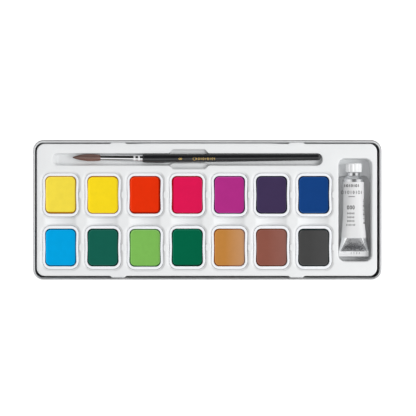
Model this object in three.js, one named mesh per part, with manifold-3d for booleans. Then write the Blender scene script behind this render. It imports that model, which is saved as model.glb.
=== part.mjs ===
// A gouache paint set: an open tin with a white moulded tray that holds fourteen pans, a brush and a tube.
// Units are millimetres. +X runs along the tin to the tube's side, +Y across it to the brush's side, +Z up.
// The origin is the centre of the underside of the tin.

import * as THREE from 'three';
import { mergeVertices } from 'three/addons/utils/BufferGeometryUtils.js';
import Module from 'manifold-3d';

// Clearances
const seatGap = 0.3;
const fitGap = 0.15;
const trayEndGap = 1.7;
const traySideGap = 1.4;
const lugGap = 0.2;
const bumpGap = 0.3;
const cutOverrun = 1;

// Tin, drawn from one sheet, with its edge curled outwards into a bead
const tinSheet = 0.4;
const beadDiameter = 2.4;
const tinCornerRadius = 9.2;
const tinEdgeRadius = 2;
const rimAboveTube = 0.3;
const standingBandWidth = 5;
const basePanelRise = 0.6;
const basePanelSlope = 1;
const basePanelCornerRadius = 4;

// Tray, thermoformed from white sheet
const traySheet = 0.8;
const trayBelowRim = 1.4;
const trayCornerRadius = 7.7;
const trayEdgeRadius = 1.6;
const trayLeftMargin = 3.3;
const trayRightMargin = 4.6;
const trayFrontMargin = 4.9;
const trayBackMargin = 7.15;
const columnWeb = 3.75;
const rowWeb = 5.9;
const brushWeb = 6.15;
const tubeWeb = 4.8;

// Snap lugs on the long sides of the tray
const lugSpacing = 156;
const lugBaseWidth = 15;
const lugTipWidth = 10.3;
const lugHeight = 6;
const lugTopDrop = 0.6;
const lugChamfer = 0.6;

// Pans: an injection-moulded cup with a lip, and the cake of paint cast in it
const columnCount = 7;
const cupWidth = 30.5;
const cupLength = 36.9;
const cupHeight = 11.5;
const cupCornerRadius = 6.5;
const cupWall = 1.1;
const cupFloor = 1;
const cupDraft = 0.9;
const cupLipOverhang = 0.75;
const cupLipHeight = 1.5;
const cupLipRound = 0.3;
const cupWaistDepth = 0.3;
const cupBelowTray = 0.4;
const paintBelowLip = 0.9;
const paintRimWidth = 1.1;
const paintRimRise = 0.35;
const paintShoulder = 0.5;

// Pockets in the tray for the pans, with a bump at the middle of each side that centres the cup
const pocketSideGap = 1.35;
const pocketEndGap = 1.4;
const pocketCornerRadius = 7.5;
const pocketEdgeRadius = 1.3;
const bumpBaseLength = 7.6;
const bumpTipLength = 3.4;
const scoopWidth = 27;
const scoopDepth = 4;
const scoopReach = 2;

// Brush: round hair, crimped ferrule, turned handle
const hairLength = 24.7;
const hairBellyRadius = 3.05;
const hairBellyPosition = 10.5;
const hairWaistRadius = 2.15;
const hairWaistPosition = 17.8;
const hairTipRadius = 0.16;
const hairTipStagger = 2.2;
const hairBacking = 1;
const hairRootDepth = 0.4;
const strandCount = 300;
const strandRadius = 0.085;
const ferruleLength = 36.9;
const ferruleMouthRadius = 2.2;
const ferruleEndRadius = 3.1;
const ferruleWall = 0.35;
const crimpDepth = 0.3;
const crimpWidth = 1.7;
const crimpInset = 3.2;
const crimpPitch = 3.9;
const handleLength = 155.9;
const handleDiameter = 8.2;
const handleEndDiameter = 5.8;
const handleTenon = 24;
const handleShareOfLength = [0, 0.012, 0.045, 0.1, 0.16, 0.24, 0.43, 0.66, 0.88];
const handleShareOfDiameter = [0.86, 0.925, 0.965, 1, 0.94, 0.915, 0.878, 0.793, 0.72];

// Groove for the brush, with a finger hollow under the handle
const grooveSpare = 3;
const grooveDepth = 5.6;
const grooveBottomRound = 1.6;
const grooveEdgeRadius = 0.9;
const grooveRampLength = 5.2;
const grooveLeftMargin = 12.8;
const grooveTipGap = 17.5;
const grooveHandleGap = 1;
const brushOffset = 1.1;
const hollowStart = 102.4;
const hollowLength = 33.7;
const hollowSpare = 3.5;
const hollowDepth = 9;
const hollowSlope = 1.2;
const hollowCornerRadius = 6.5;

// Tube: collapsible aluminium body with a folded end, and a ribbed screw cap with a sealing disc
const tubeDiameter = 18.3;
const tubeLabelLength = 49.8;
const tubeLabelEndWidth = 22;
const tubeLabelEndHeight = 14;
const tubeFoldLength = 11.9;
const tubeCrimpWidth = 26.2;
const tubeCrimpLength = 5.1;
const tubeCrimpThickness = 1.8;
const tubeShoulderLength = 4.5;
const tubeShoulderRound = 0.9;
const tubeCollarRadius = 5.6;
const tubeCollarLength = 3.3;
const tubeNeckRadius = 4.2;
const tubeNeckLength = 4.8;
const tubeOrificeRadius = 1.8;
const tubeOrificeDepth = 3;
const capDiameter = 14.1;
const capLength = 7.6;
const capChamfer = 0.5;
const capRibCount = 12;
const capRibDepth = 0.5;
const capRibShare = 0.7;
const linerThickness = 0.8;

// Recess for the tube: a shelf under the cap and a deeper well under the body
const tubeEndGap = 4.6;
const capEndGap = 4.3;
const tubeSideSpare = 3;
const tubeOffset = 0.7;
const shoulderGap = 0.4;
const recessFrontMargin = 11.25;
const recessCornerRadius = 6;
const recessEdgeRadius = 1.2;
const recessDraft = 0.6;

// Facets
const tinCornerSegments = 4;
const panCornerSegments = 3;
const recessCornerSegments = 4;
const beadSegments = 4;
const edgeSegments = 3;
const scoopSegments = 6;
const turnedSegments = 16;
const tubeSegments = 24;
const strandSides = 3;
const squareShare = 0.3;

// Sizes of the whole, worked out from what the tin holds
const pocketWidth = cupWidth + 2 * pocketSideGap;
const pocketLength = cupLength + 2 * pocketEndGap;
const columnPitch = pocketWidth + columnWeb;
const rowPitch = pocketLength + rowWeb;
const brushLength = hairLength + ferruleLength + handleLength;
const grooveWidth = handleDiameter + grooveSpare;
const grooveLength = grooveTipGap + brushLength + grooveHandleGap;
const tubeBodyLength = tubeCrimpLength + tubeFoldLength + tubeLabelLength;
const tubeCollarEnd = tubeBodyLength + tubeShoulderLength + tubeCollarLength;
const tubeLength = tubeCollarEnd + capLength;
const recessWidth = tubeCrimpWidth + tubeSideSpare;
const recessLength = tubeEndGap + tubeLength + capEndGap;
const panRun = trayLeftMargin + columnCount * columnPitch - columnWeb;
const grooveRun = grooveLeftMargin + grooveLength;
const panDepthRun = trayFrontMargin + pocketLength + rowPitch + brushWeb + grooveWidth + trayBackMargin;
const trayLength = Math.max(panRun, grooveRun) + tubeWeb + recessWidth + trayRightMargin;
const trayWidth = Math.max(panDepthRun, 2 * recessFrontMargin + recessLength);
const tinLength = trayLength + 2 * (trayEndGap + beadDiameter);
const tinWidth = trayWidth + 2 * (traySideGap + beadDiameter);

// Levels, from the floor of the tin upwards
const wellFloor = tinSheet + basePanelRise + seatGap + traySheet;
const tubeAxisZ = wellFloor + seatGap + tubeDiameter / 2;
const tinHeight = tubeAxisZ + tubeDiameter / 2 + rimAboveTube;
const trayTop = tinHeight - trayBelowRim;
const trayFoot = tinSheet + seatGap;
const cupBottom = trayTop - cupBelowTray - cupHeight;
const pocketFloor = cupBottom - seatGap;
const grooveFloor = trayTop - grooveDepth;
const brushAxisZ = grooveFloor + seatGap + handleDiameter / 2;
const shelfFloor = tubeAxisZ - capDiameter / 2 - seatGap;

// Places in plan
const trayLeft = -trayLength / 2;
const trayFront = -trayWidth / 2;
const firstColumnX = trayLeft + trayLeftMargin + pocketWidth / 2;
const frontRowY = trayFront + trayFrontMargin + pocketLength / 2;
const backRowY = frontRowY + rowPitch;
const grooveY = backRowY + pocketLength / 2 + brushWeb + grooveWidth / 2;
const grooveLeft = trayLeft + grooveLeftMargin;
const brushMouthX = grooveLeft + grooveTipGap + hairLength;
const brushY = grooveY + brushOffset;
const recessRight = trayLength / 2 - trayRightMargin;
const recessFront = trayFront + recessFrontMargin;
const tubeX = recessRight - recessWidth / 2 - tubeOffset;
const tubeFootY = recessFront + tubeEndGap;

// Each paint's node name and colour, from left to right, back row first
const backRowPaints = [
  ['lemon_yellow', 0xf0db47],
  ['golden_yellow', 0xf4d623],
  ['vermilion', 0xe23212],
  ['carmine', 0xda1b52],
  ['purple', 0xae2c84],
  ['violet', 0x403252],
  ['ultramarine', 0x194080],
];
const frontRowPaints = [
  ['cyan', 0x00a1de],
  ['pine_green', 0x195d4e],
  ['light_green', 0x7cb658],
  ['emerald', 0x006444],
  ['ochre', 0xc2853e],
  ['brown', 0x8f5447],
  ['black', 0x424242],
];

const wasm = await Module();
wasm.setup();

// Plan boxes and outlines
function boxAround(x, y, width, length) {
  return { left: x - width / 2, right: x + width / 2, front: y - length / 2, back: y + length / 2 };
}

function grown(box, amount) {
  return {
    left: box.left - amount,
    right: box.right + amount,
    front: box.front - amount,
    back: box.back + amount,
  };
}

// A pinch draws the middle of the left and right sides in. It lists [distance from the middle, depth] pairs.
function pinchPoints(x, y, inwards, pinch) {
  const towards = pinch.map(([along, depth]) => new THREE.Vector2(x + inwards * depth, y - along));
  const away = pinch.filter(([along]) => along > 0)
    .map(([along, depth]) => new THREE.Vector2(x + inwards * depth, y + along))
    .reverse();
  return [...towards, ...away];
}

// A rounded rectangle, anticlockwise from its front right corner
function roundedOutline(box, radius, segments, pinch = []) {
  const middleY = (box.front + box.back) / 2;
  const corners = [
    [box.right - radius, box.front + radius],
    [box.right - radius, box.back - radius],
    [box.left + radius, box.back - radius],
    [box.left + radius, box.front + radius],
  ];
  const outline = [];
  corners.forEach(([x, y], corner) => {
    for (let step = 0; step <= segments; step++) {
      const angle = (corner - 1 + step / segments) * Math.PI / 2;
      outline.push(new THREE.Vector2(x + radius * Math.cos(angle), y + radius * Math.sin(angle)));
    }
    if (corner === 0) outline.push(...pinchPoints(box.right, middleY, -1, pinch));
    if (corner === 2) outline.push(...pinchPoints(box.left, middleY, 1, pinch).reverse());
  });
  return outline;
}

// A circle at halfWidth = halfHeight. A squareness below 1 fills the corners of the flattened section.
function ovalOutline(halfWidth, halfHeight, segments, squareness = 1) {
  const outline = [];
  for (let step = 0; step < segments; step++) {
    const angle = step / segments * 2 * Math.PI;
    const x = Math.sign(Math.cos(angle)) * Math.abs(Math.cos(angle)) ** squareness;
    const y = Math.sign(Math.sin(angle)) * Math.abs(Math.sin(angle)) ** squareness;
    outline.push(new THREE.Vector2(halfWidth * x, halfHeight * y));
  }
  return outline;
}

function capTriangles(outline) {
  return THREE.ShapeUtils.triangulateShape(outline, []);
}

// A closed surface through stacked outlines of equally many points, capped at the first and the last
function loft(sections) {
  const count = sections[0].outline.length;
  const positions = sections.flatMap(({ outline, z }) => outline.flatMap((point) => [point.x, point.y, z]));
  const indices = [];
  for (let ring = 0; ring + 1 < sections.length; ring++) {
    for (let i = 0; i < count; i++) {
      const here = ring * count + i;
      const beside = ring * count + (i + 1) % count;
      indices.push(here, beside, beside + count, here, beside + count, here + count);
    }
  }
  const lastRing = (sections.length - 1) * count;
  for (const [a, b, c] of capTriangles(sections[0].outline)) indices.push(a, c, b);
  for (const [a, b, c] of capTriangles(sections.at(-1).outline)) {
    indices.push(lastRing + a, lastRing + b, lastRing + c);
  }
  const geometry = new THREE.BufferGeometry();
  geometry.setAttribute('position', new THREE.Float32BufferAttribute(positions, 3));
  geometry.setIndex(indices);
  return geometry;
}

function disc(radius, bottom, top, segments) {
  return loft([bottom, top].map((z) => ({ outline: ovalOutline(radius, radius, segments), z })));
}

// Points of a quarter or longer arc, as [inset, z], from one angle to another about a centre
function arcProfile(centreInset, centreZ, radius, fromAngle, toAngle, segments) {
  const points = [];
  for (let step = 0; step <= segments; step++) {
    const angle = fromAngle + (toAngle - fromAngle) * step / segments;
    points.push([centreInset + radius * Math.cos(angle), centreZ + radius * Math.sin(angle)]);
  }
  return points;
}

// Rings of a rounded rectangle that shrinks by each [inset, z] of a profile
function insetSections(box, radius, leastRadius, segments, profile, pinch = []) {
  return profile.map(([inset, z]) => ({
    outline: roundedOutline(grown(box, -inset), Math.max(radius - inset, leastRadius), segments, pinch),
    z,
  }));
}

// Solids for joining and cutting
function toSolid(geometry) {
  geometry.deleteAttribute('normal');
  geometry.deleteAttribute('uv');
  const merged = mergeVertices(geometry);
  return new wasm.Manifold(new wasm.Mesh({
    numProp: 3,
    vertProperties: new Float32Array(merged.attributes.position.array),
    triVerts: new Uint32Array(merged.index.array),
  }));
}

function toGeometry(solid) {
  const { vertProperties, triVerts } = solid.getMesh();
  const geometry = new THREE.BufferGeometry();
  geometry.setAttribute('position', new THREE.BufferAttribute(new Float32Array(vertProperties), 3));
  geometry.setIndex(new THREE.BufferAttribute(new Uint32Array(triVerts), 1));
  return geometry;
}

function joined(solids) {
  return solids.reduce((all, solid) => all.add(solid));
}

// The tin: raised base panel, standing band, wall and curled bead, then back down inside, one sheet apart
function tinGeometry() {
  const beadRadius = beadDiameter / 2;
  const beadZ = tinHeight - beadRadius;
  const wallOutside = beadDiameter - tinSheet;
  const wallAngle = Math.acos((wallOutside - beadRadius) / beadRadius);
  const edgeInset = wallOutside + tinEdgeRadius;
  const panelInset = edgeInset + standingBandWidth;
  const insideRadius = tinEdgeRadius - tinSheet;
  const profile = [
    [panelInset + basePanelSlope, basePanelRise],
    [panelInset, 0],
    ...arcProfile(edgeInset, tinEdgeRadius, tinEdgeRadius, -Math.PI / 2, -Math.PI, edgeSegments),
    ...arcProfile(beadRadius, beadZ, beadRadius, -wallAngle, -Math.PI, edgeSegments),
    ...arcProfile(beadRadius, beadZ, beadRadius, -Math.PI, -2 * Math.PI, beadSegments).slice(1),
    ...arcProfile(edgeInset, tinEdgeRadius, insideRadius, -Math.PI, -Math.PI / 2, edgeSegments),
    [panelInset, tinSheet],
    [panelInset + basePanelSlope, basePanelRise + tinSheet],
  ];
  const box = boxAround(0, 0, tinLength, tinWidth);
  return loft(insetSections(box, tinCornerRadius, basePanelCornerRadius, tinCornerSegments, profile));
}

// Tray parts. Each recess is a cavity, and the same form one sheet larger is the shell around it.
function trayBlock(inset, foot, top) {
  const edge = trayEdgeRadius - inset;
  const arc = arcProfile(trayEdgeRadius, top - edge, edge, -Math.PI, -1.5 * Math.PI, edgeSegments);
  const profile = [[inset, foot], ...arc];
  const box = boxAround(0, 0, trayLength, trayWidth);
  return toSolid(loft(insetSections(box, trayCornerRadius, trayEdgeRadius, tinCornerSegments, profile)));
}

function lugSolid(x, side) {
  const edgeY = side * trayWidth / 2;
  const reach = traySideGap - lugGap;
  const top = trayTop - lugTopDrop;
  const bottom = top - lugHeight;
  const sections = [
    [bottom, lugChamfer],
    [bottom + lugHeight / 2, reach],
    [top - lugChamfer, reach],
    [top, reach - lugChamfer],
  ].map(([z, proud]) => {
    const outline = [
      new THREE.Vector2(x - lugBaseWidth / 2, edgeY - side * traySheet / 2),
      new THREE.Vector2(x + lugBaseWidth / 2, edgeY - side * traySheet / 2),
      new THREE.Vector2(x + lugTipWidth / 2, edgeY + side * proud),
      new THREE.Vector2(x - lugTipWidth / 2, edgeY + side * proud),
    ];
    return { outline: side > 0 ? outline : outline.reverse(), z };
  });
  return toSolid(loft(sections));
}

// An open recess with a flared edge: profile entries give the inset of the wall at each height
function recessSolid(box, radius, profile, segments, grow = 0, pinch = []) {
  const shifted = profile.map(([inset, z]) => [inset - grow, z]);
  return toSolid(loft(insetSections(box, radius, radius / 2, segments, shifted, pinch)));
}

function flare(edgeRadius, segments) {
  const arc = arcProfile(-edgeRadius, trayTop - edgeRadius, edgeRadius, 0, Math.PI / 2, segments);
  return [...arc, [-edgeRadius, trayTop + cutOverrun]];
}

function pocketCavity(x, y) {
  const box = boxAround(x, y, pocketWidth, pocketLength);
  const profile = [[0, pocketFloor], ...flare(pocketEdgeRadius, 1)];
  const bump = [[bumpBaseLength / 2, 0], [bumpTipLength / 2, pocketSideGap + cupWaistDepth - bumpGap]];
  return recessSolid(box, pocketCornerRadius, profile, panCornerSegments, 0, bump);
}

function pocketShell(x, y) {
  const box = boxAround(x, y, pocketWidth, pocketLength);
  const profile = [[0, pocketFloor - traySheet], [0, trayTop - traySheet / 2]];
  return recessSolid(box, pocketCornerRadius, profile, panCornerSegments, traySheet);
}

// The finger scoop: a shallow trough across the web between two pockets, an arc in cross-section
function scoopSolid(x, grow) {
  const radius = (scoopWidth ** 2 / 4 + scoopDepth ** 2) / (2 * scoopDepth);
  const centreZ = trayTop - scoopDepth + radius;
  const halfAngle = Math.asin(scoopWidth / 2 / radius);
  const shape = new THREE.Shape();
  for (let step = 0; step <= scoopSegments; step++) {
    const angle = halfAngle * (2 * step / scoopSegments - 1);
    const pointX = (radius + grow) * Math.sin(angle);
    const pointZ = centreZ - (radius + grow) * Math.cos(angle);
    if (step === 0) shape.moveTo(pointX, pointZ);
    else shape.lineTo(pointX, pointZ);
  }
  const lid = grow > 0 ? trayTop - traySheet / 2 : trayTop + cutOverrun;
  shape.lineTo((radius + grow) * Math.sin(halfAngle), lid);
  shape.lineTo(-(radius + grow) * Math.sin(halfAngle), lid);
  const depth = rowWeb + 2 * scoopReach;
  const geometry = new THREE.ExtrudeGeometry(shape, { depth, bevelEnabled: false });
  geometry.rotateX(Math.PI / 2);
  geometry.translate(x, frontRowY + pocketLength / 2 + rowWeb + scoopReach, 0);
  return toSolid(geometry);
}

// The groove's left end rises as a ramp. Its other walls are upright above an eased bottom.
function grooveSolid(isShell) {
  const grow = isShell ? traySheet : 0;
  const full = boxAround(grooveLeft + grooveLength / 2, grooveY, grooveLength, grooveWidth);
  const ring = ([inset, z]) => {
    const box = grown(full, grow - inset);
    const radius = (box.back - box.front) / 2 - grooveEdgeRadius;
    box.left += grooveRampLength * Math.max(trayTop - z, 0) / grooveDepth;
    return { outline: roundedOutline(box, radius, recessCornerSegments), z };
  };
  const foot = [[grooveBottomRound, grooveFloor - grow], [0, grooveFloor + grooveBottomRound - grow]];
  const top = isShell ? [[0, trayTop - traySheet / 2]] : flare(grooveEdgeRadius, edgeSegments - 1);
  return toSolid(loft([...foot, ...top].map(ring)));
}

function hollowSolid(isShell) {
  const x = grooveLeft + hollowStart + hollowLength / 2;
  const box = boxAround(x, grooveY, hollowLength, grooveWidth + 2 * hollowSpare);
  const floor = trayTop - hollowDepth;
  const grow = isShell ? traySheet : 0;
  const profile = isShell
    ? [[hollowSlope, floor - traySheet], [0, trayTop - traySheet / 2]]
    : [[hollowSlope, floor], ...flare(grooveEdgeRadius, edgeSegments - 1)];
  return recessSolid(box, hollowCornerRadius, profile, recessCornerSegments, grow);
}

// The tube's recess: the shelf's form over the whole length, and the well's below it
function tubeRecess(isShell) {
  const grow = isShell ? traySheet : 0;
  const whole = {
    left: recessRight - recessWidth,
    right: recessRight,
    front: recessFront,
    back: recessFront + recessLength,
  };
  const shoulderY = tubeFootY + tubeBodyLength + tubeShoulderLength;
  const well = { ...grown(whole, -recessDraft), back: shoulderY + shoulderGap };
  const upperProfile = isShell
    ? [[recessDraft, shelfFloor - traySheet], [0, trayTop - traySheet / 2]]
    : [[recessDraft, shelfFloor], ...flare(recessEdgeRadius, edgeSegments - 1)];
  const lowerProfile = isShell
    ? [[recessDraft, wellFloor - traySheet], [0, shelfFloor]]
    : [[recessDraft, wellFloor], [0, shelfFloor + traySheet / 2]];
  const upper = recessSolid(whole, recessCornerRadius, upperProfile, recessCornerSegments, grow);
  const lower = recessSolid(well, recessCornerRadius, lowerProfile, recessCornerSegments, grow);
  return upper.add(lower);
}

function trayGeometry() {
  const columns = Array.from({ length: columnCount }, (_, column) => firstColumnX + column * columnPitch);
  const pockets = columns.flatMap((x) => [[x, frontRowY], [x, backRowY]]);
  const lugs = [-1, 1].flatMap((end) => [-1, 1].map((side) => lugSolid(end * lugSpacing / 2, side)));
  const skin = trayBlock(0, trayFoot, trayTop)
    .subtract(trayBlock(traySheet, trayFoot - cutOverrun, trayTop - traySheet));
  const shells = [
    ...pockets.map(([x, y]) => pocketShell(x, y)),
    ...columns.map((x) => scoopSolid(x, traySheet)),
    grooveSolid(true),
    hollowSolid(true),
    tubeRecess(true),
  ];
  const cavities = [
    ...pockets.map(([x, y]) => pocketCavity(x, y)),
    ...columns.map((x) => scoopSolid(x, 0)),
    grooveSolid(false),
    hollowSolid(false),
    tubeRecess(false),
  ];
  return toGeometry(joined([skin, ...lugs, ...shells]).subtract(joined(cavities)));
}

// The cup: tapered and slightly waisted outside, a lip with an eased edge, and a tapered inside
function cupGeometry() {
  const box = boxAround(0, 0, cupWidth, cupLength);
  const lipUnderside = cupHeight - cupLipHeight;
  const insideTop = cupLipOverhang + cupWall;
  const profile = [
    [cupLipOverhang + cupDraft, 0],
    [cupLipOverhang, lipUnderside],
    [0, lipUnderside],
    [0, cupHeight - cupLipRound],
    [cupLipRound, cupHeight],
    [insideTop, cupHeight],
    [insideTop + cupDraft, cupFloor],
  ];
  return loft(insetSections(box, cupCornerRadius, cupWall, panCornerSegments, profile, [[0, cupWaistDepth]]));
}

// The cake: it follows the cup's tapered inside, and its rim stands a little above the dished middle.
function paintGeometry() {
  const box = boxAround(0, 0, cupWidth - 2 * cupWaistDepth, cupLength - 2 * cupWaistDepth);
  const taper = cupDraft / (cupHeight - cupFloor);
  const sideInset = (z) => cupLipOverhang + cupWall + fitGap + taper * (cupHeight - z);
  const paintTop = cupHeight - paintBelowLip;
  const shoulderZ = paintTop - paintShoulder;
  const rimInset = sideInset(shoulderZ) + paintShoulder;
  const profile = [
    [sideInset(cupFloor), cupFloor],
    [sideInset(shoulderZ), shoulderZ],
    [rimInset, paintTop],
    [rimInset + paintRimWidth, paintTop - paintRimRise],
  ];
  return loft(insetSections(box, cupCornerRadius - cupWaistDepth, cupWall, panCornerSegments, profile));
}

// Hair: tapered strands in a sunflower pattern, spread out at the belly and drawn together at the point
function strandSections(share, angle) {
  const tipZ = hairLength - hairTipStagger * share;
  const tipShare = (tipZ - hairWaistPosition) / (hairLength - hairWaistPosition);
  const rootSpread = ferruleMouthRadius - ferruleWall - fitGap - strandRadius;
  const tipSpread = THREE.MathUtils.lerp(hairWaistRadius, hairTipRadius, tipShare);
  const rings = [
    [-hairRootDepth, rootSpread],
    [hairBellyPosition, hairBellyRadius - strandRadius],
    [hairWaistPosition, hairWaistRadius - strandRadius],
  ];
  const centreAt = (spread) => [spread * share * Math.cos(angle), spread * share * Math.sin(angle)];
  const points = rings.flatMap(([z, spread]) => {
    const [x, y] = centreAt(spread);
    const radius = strandRadius * spread / rootSpread;
    return ovalOutline(radius, radius, strandSides).flatMap((point) => [x + point.x, y + point.y, z]);
  });
  return [...points, ...centreAt(tipSpread), tipZ];
}

function hairGeometry() {
  const goldenAngle = Math.PI * (3 - Math.sqrt(5));
  const positions = [];
  const indices = [];
  for (let strand = 0; strand < strandCount; strand++) {
    const first = positions.length / 3;
    positions.push(...strandSections(Math.sqrt((strand + 0.5) / strandCount), strand * goldenAngle));
    const tip = positions.length / 3 - 1;
    const lastRing = tip - strandSides;
    for (let side = 0; side < strandSides; side++) {
      const next = (side + 1) % strandSides;
      for (let ring = first; ring < lastRing; ring += strandSides) {
        indices.push(ring + side, ring + next, ring + strandSides + next);
        indices.push(ring + side, ring + strandSides + next, ring + strandSides + side);
      }
      indices.push(lastRing + side, lastRing + next, tip);
      if (side > 1) indices.push(first, first + side, first + side - 1);
    }
  }
  const strands = new THREE.BufferGeometry();
  strands.setAttribute('position', new THREE.Float32BufferAttribute(positions, 3));
  strands.setIndex(indices);
  const backingRadius = ferruleMouthRadius - ferruleWall - fitGap;
  const backing = disc(backingRadius, -hairBacking, 0, turnedSegments);
  const geometry = toGeometry(toSolid(backing).add(toSolid(strands)));
  geometry.rotateX(Math.PI / 2);
  return geometry;
}

// The ferrule's outer radius along its length, with two rolled crimps near the handle
function ferruleOutline() {
  const flareRate = (ferruleEndRadius - ferruleMouthRadius) / ferruleLength;
  const radiusAt = (y) => ferruleMouthRadius + flareRate * y;
  const points = [[ferruleMouthRadius, 0]];
  for (const crimp of [1, 0]) {
    const middle = ferruleLength - crimpInset - crimp * crimpPitch;
    points.push([radiusAt(middle - crimpWidth / 2), middle - crimpWidth / 2]);
    points.push([radiusAt(middle) - crimpDepth, middle]);
    points.push([radiusAt(middle + crimpWidth / 2), middle + crimpWidth / 2]);
  }
  points.push([ferruleEndRadius, ferruleLength]);
  return points;
}

function turned(points) {
  return new THREE.LatheGeometry(points.map(([radius, y]) => new THREE.Vector2(radius, y)), turnedSegments);
}

function ferruleGeometry() {
  const outside = ferruleOutline();
  const inside = outside.map(([radius, y]) => [radius - ferruleWall, y]).reverse();
  return turned([...outside, ...inside, outside[0]]);
}

// The handle: a tenon that fills the crimped end of the ferrule, a swelling behind it and a long taper
function handleGeometry() {
  const tenonStart = ferruleLength - handleTenon;
  const inFerrule = ferruleOutline().map(([radius, y]) => [radius - ferruleWall - fitGap, y]);
  const tenonPoints = inFerrule.filter(([, y]) => y > tenonStart && y < ferruleLength);
  const tenonRadius = tenonPoints[0][0];
  const grip = handleShareOfLength.map((share, i) => [
    handleDiameter / 2 * handleShareOfDiameter[i],
    ferruleLength + fitGap + share * handleLength,
  ]);
  const endRadius = handleEndDiameter / 2;
  const endCentre = ferruleLength + handleLength - endRadius;
  const end = arcProfile(0, endCentre, endRadius, 0, Math.PI / 2, edgeSegments).slice(0, -1);
  return turned([
    [0, tenonStart],
    [tenonRadius - crimpDepth, tenonStart],
    ...tenonPoints,
    [ferruleEndRadius - ferruleWall - fitGap, ferruleLength + fitGap],
    ...grip,
    ...end,
    [0, endCentre + endRadius],
  ]);
}

// The tube's body along its own axis from the folded end, flat there and round at the shoulder
function tubeBodyGeometry() {
  const oval = (halfWidth, halfHeight, z, squareness) => ({
    outline: ovalOutline(halfWidth, halfHeight, tubeSegments, squareness),
    z,
  });
  const radius = tubeDiameter / 2;
  const crimpHalf = tubeCrimpThickness / 2;
  const midWidth = (tubeLabelEndWidth + tubeDiameter) / 4;
  const midHeight = (tubeLabelEndHeight + tubeDiameter) / 4;
  const labelEnd = tubeCrimpLength + tubeFoldLength;
  const collar = tubeBodyLength + tubeShoulderLength;
  const top = tubeCollarEnd + tubeNeckLength;
  const sections = [
    oval(tubeCrimpWidth / 2, crimpHalf, 0, squareShare),
    oval(tubeCrimpWidth / 2, crimpHalf, tubeCrimpLength, squareShare),
    oval(tubeCrimpWidth / 2, crimpHalf / 2, tubeCrimpLength, squareShare),
    oval(tubeLabelEndWidth / 2, tubeLabelEndHeight / 2, labelEnd, 1),
    oval(midWidth, midHeight, labelEnd + tubeLabelLength / 3, 1),
    oval(radius, radius, labelEnd + 2 * tubeLabelLength / 3, 1),
    oval(radius, radius, tubeBodyLength - tubeShoulderRound, 1),
    oval(radius - tubeShoulderRound / 2, radius - tubeShoulderRound / 2, tubeBodyLength, 1),
    oval(tubeCollarRadius, tubeCollarRadius, collar, 1),
    oval(tubeCollarRadius, tubeCollarRadius, tubeCollarEnd - seatGap, 1),
    oval(tubeNeckRadius, tubeNeckRadius, tubeCollarEnd - seatGap, 1),
    oval(tubeNeckRadius, tubeNeckRadius, top, 1),
    oval(tubeOrificeRadius, tubeOrificeRadius, top, 1),
    oval(tubeOrificeRadius, tubeOrificeRadius, top - tubeOrificeDepth, 1),
  ];
  return loft(sections);
}

// The cap: a ribbed outside with an eased top, bored from below for the neck and the sealing disc
function capGeometry() {
  const ribbed = (radius, z) => {
    const outline = [];
    for (let rib = 0; rib < capRibCount; rib++) {
      for (const [share, depth] of [[0, 0], [capRibShare, 0], [(1 + capRibShare) / 2, capRibDepth]]) {
        const angle = (rib + share) / capRibCount * 2 * Math.PI;
        const reach = radius - depth;
        outline.push(new THREE.Vector2(reach * Math.cos(angle), reach * Math.sin(angle)));
      }
    }
    return { outline, z };
  };
  const radius = capDiameter / 2;
  const boreRadius = tubeNeckRadius + seatGap;
  const boreTop = tubeNeckLength + linerThickness + 2 * seatGap;
  const sides = [ribbed(radius, 0), ribbed(radius, capLength - capChamfer)];
  const outside = loft([...sides, ribbed(radius - capChamfer, capLength)]);
  return toGeometry(toSolid(outside).subtract(toSolid(disc(boreRadius, -cutOverrun, boreTop, tubeSegments))));
}

function linerGeometry() {
  const radius = tubeNeckRadius + fitGap;
  const low = tubeNeckLength + seatGap;
  return disc(radius, low, low + linerThickness, tubeSegments);
}

function named(name, geometry, color, roughness, metalness) {
  const material = new THREE.MeshStandardMaterial({ color, roughness, metalness });
  const mesh = new THREE.Mesh(geometry, material);
  mesh.name = name;
  return mesh;
}

function pans() {
  const group = new THREE.Group();
  const cup = cupGeometry();
  const paint = paintGeometry();
  const rows = [[backRowPaints, backRowY], [frontRowPaints, frontRowY]];
  for (const [paints, y] of rows) {
    paints.slice(0, columnCount).forEach(([name, color], column) => {
      const pan = new THREE.Group();
      pan.position.set(firstColumnX + column * columnPitch, y, cupBottom);
      pan.add(named(`cup_${name}`, cup, 0xeff0f1, 0.35, 0));
      pan.add(named(`paint_${name}`, paint, color, 0.6, 0));
      group.add(pan);
    });
  }
  return group;
}

function brush() {
  const group = new THREE.Group();
  group.position.set(brushMouthX, brushY, brushAxisZ);
  group.rotation.z = -Math.PI / 2;
  group.add(named('brush_hair', hairGeometry(), 0x6e504b, 0.55, 0));
  group.add(named('brush_ferrule', ferruleGeometry(), 0xd2d2d2, 0.15, 1));
  group.add(named('brush_handle', handleGeometry(), 0x17181b, 0.15, 0));
  return group;
}

function tube() {
  const group = new THREE.Group();
  group.position.set(tubeX, tubeFootY, tubeAxisZ);
  group.rotation.x = -Math.PI / 2;
  group.add(named('tube_body', tubeBodyGeometry(), 0xe3e4e5, 0.35, 0.3));
  const capGroup = new THREE.Group();
  capGroup.position.z = tubeLength - capLength;
  capGroup.add(named('cap_liner', linerGeometry(), 0xd8d4cc, 0.8, 0));
  capGroup.add(named('tube_cap', capGeometry(), 0xf0f0f0, 0.4, 0));
  group.add(capGroup);
  return group;
}

const paintSet = new THREE.Group();
paintSet.add(named('tin_base', tinGeometry(), 0xb9b9b8, 0.3, 1));
paintSet.add(named('tray', trayGeometry(), 0xe9ebeb, 0.4, 0));
paintSet.add(pans());
paintSet.add(brush());
paintSet.add(tube());

export default paintSet;
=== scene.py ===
import math

import bmesh
import bpy
import numpy as np
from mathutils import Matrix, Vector
from mathutils.geometry import delaunay_2d_cdt


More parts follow.
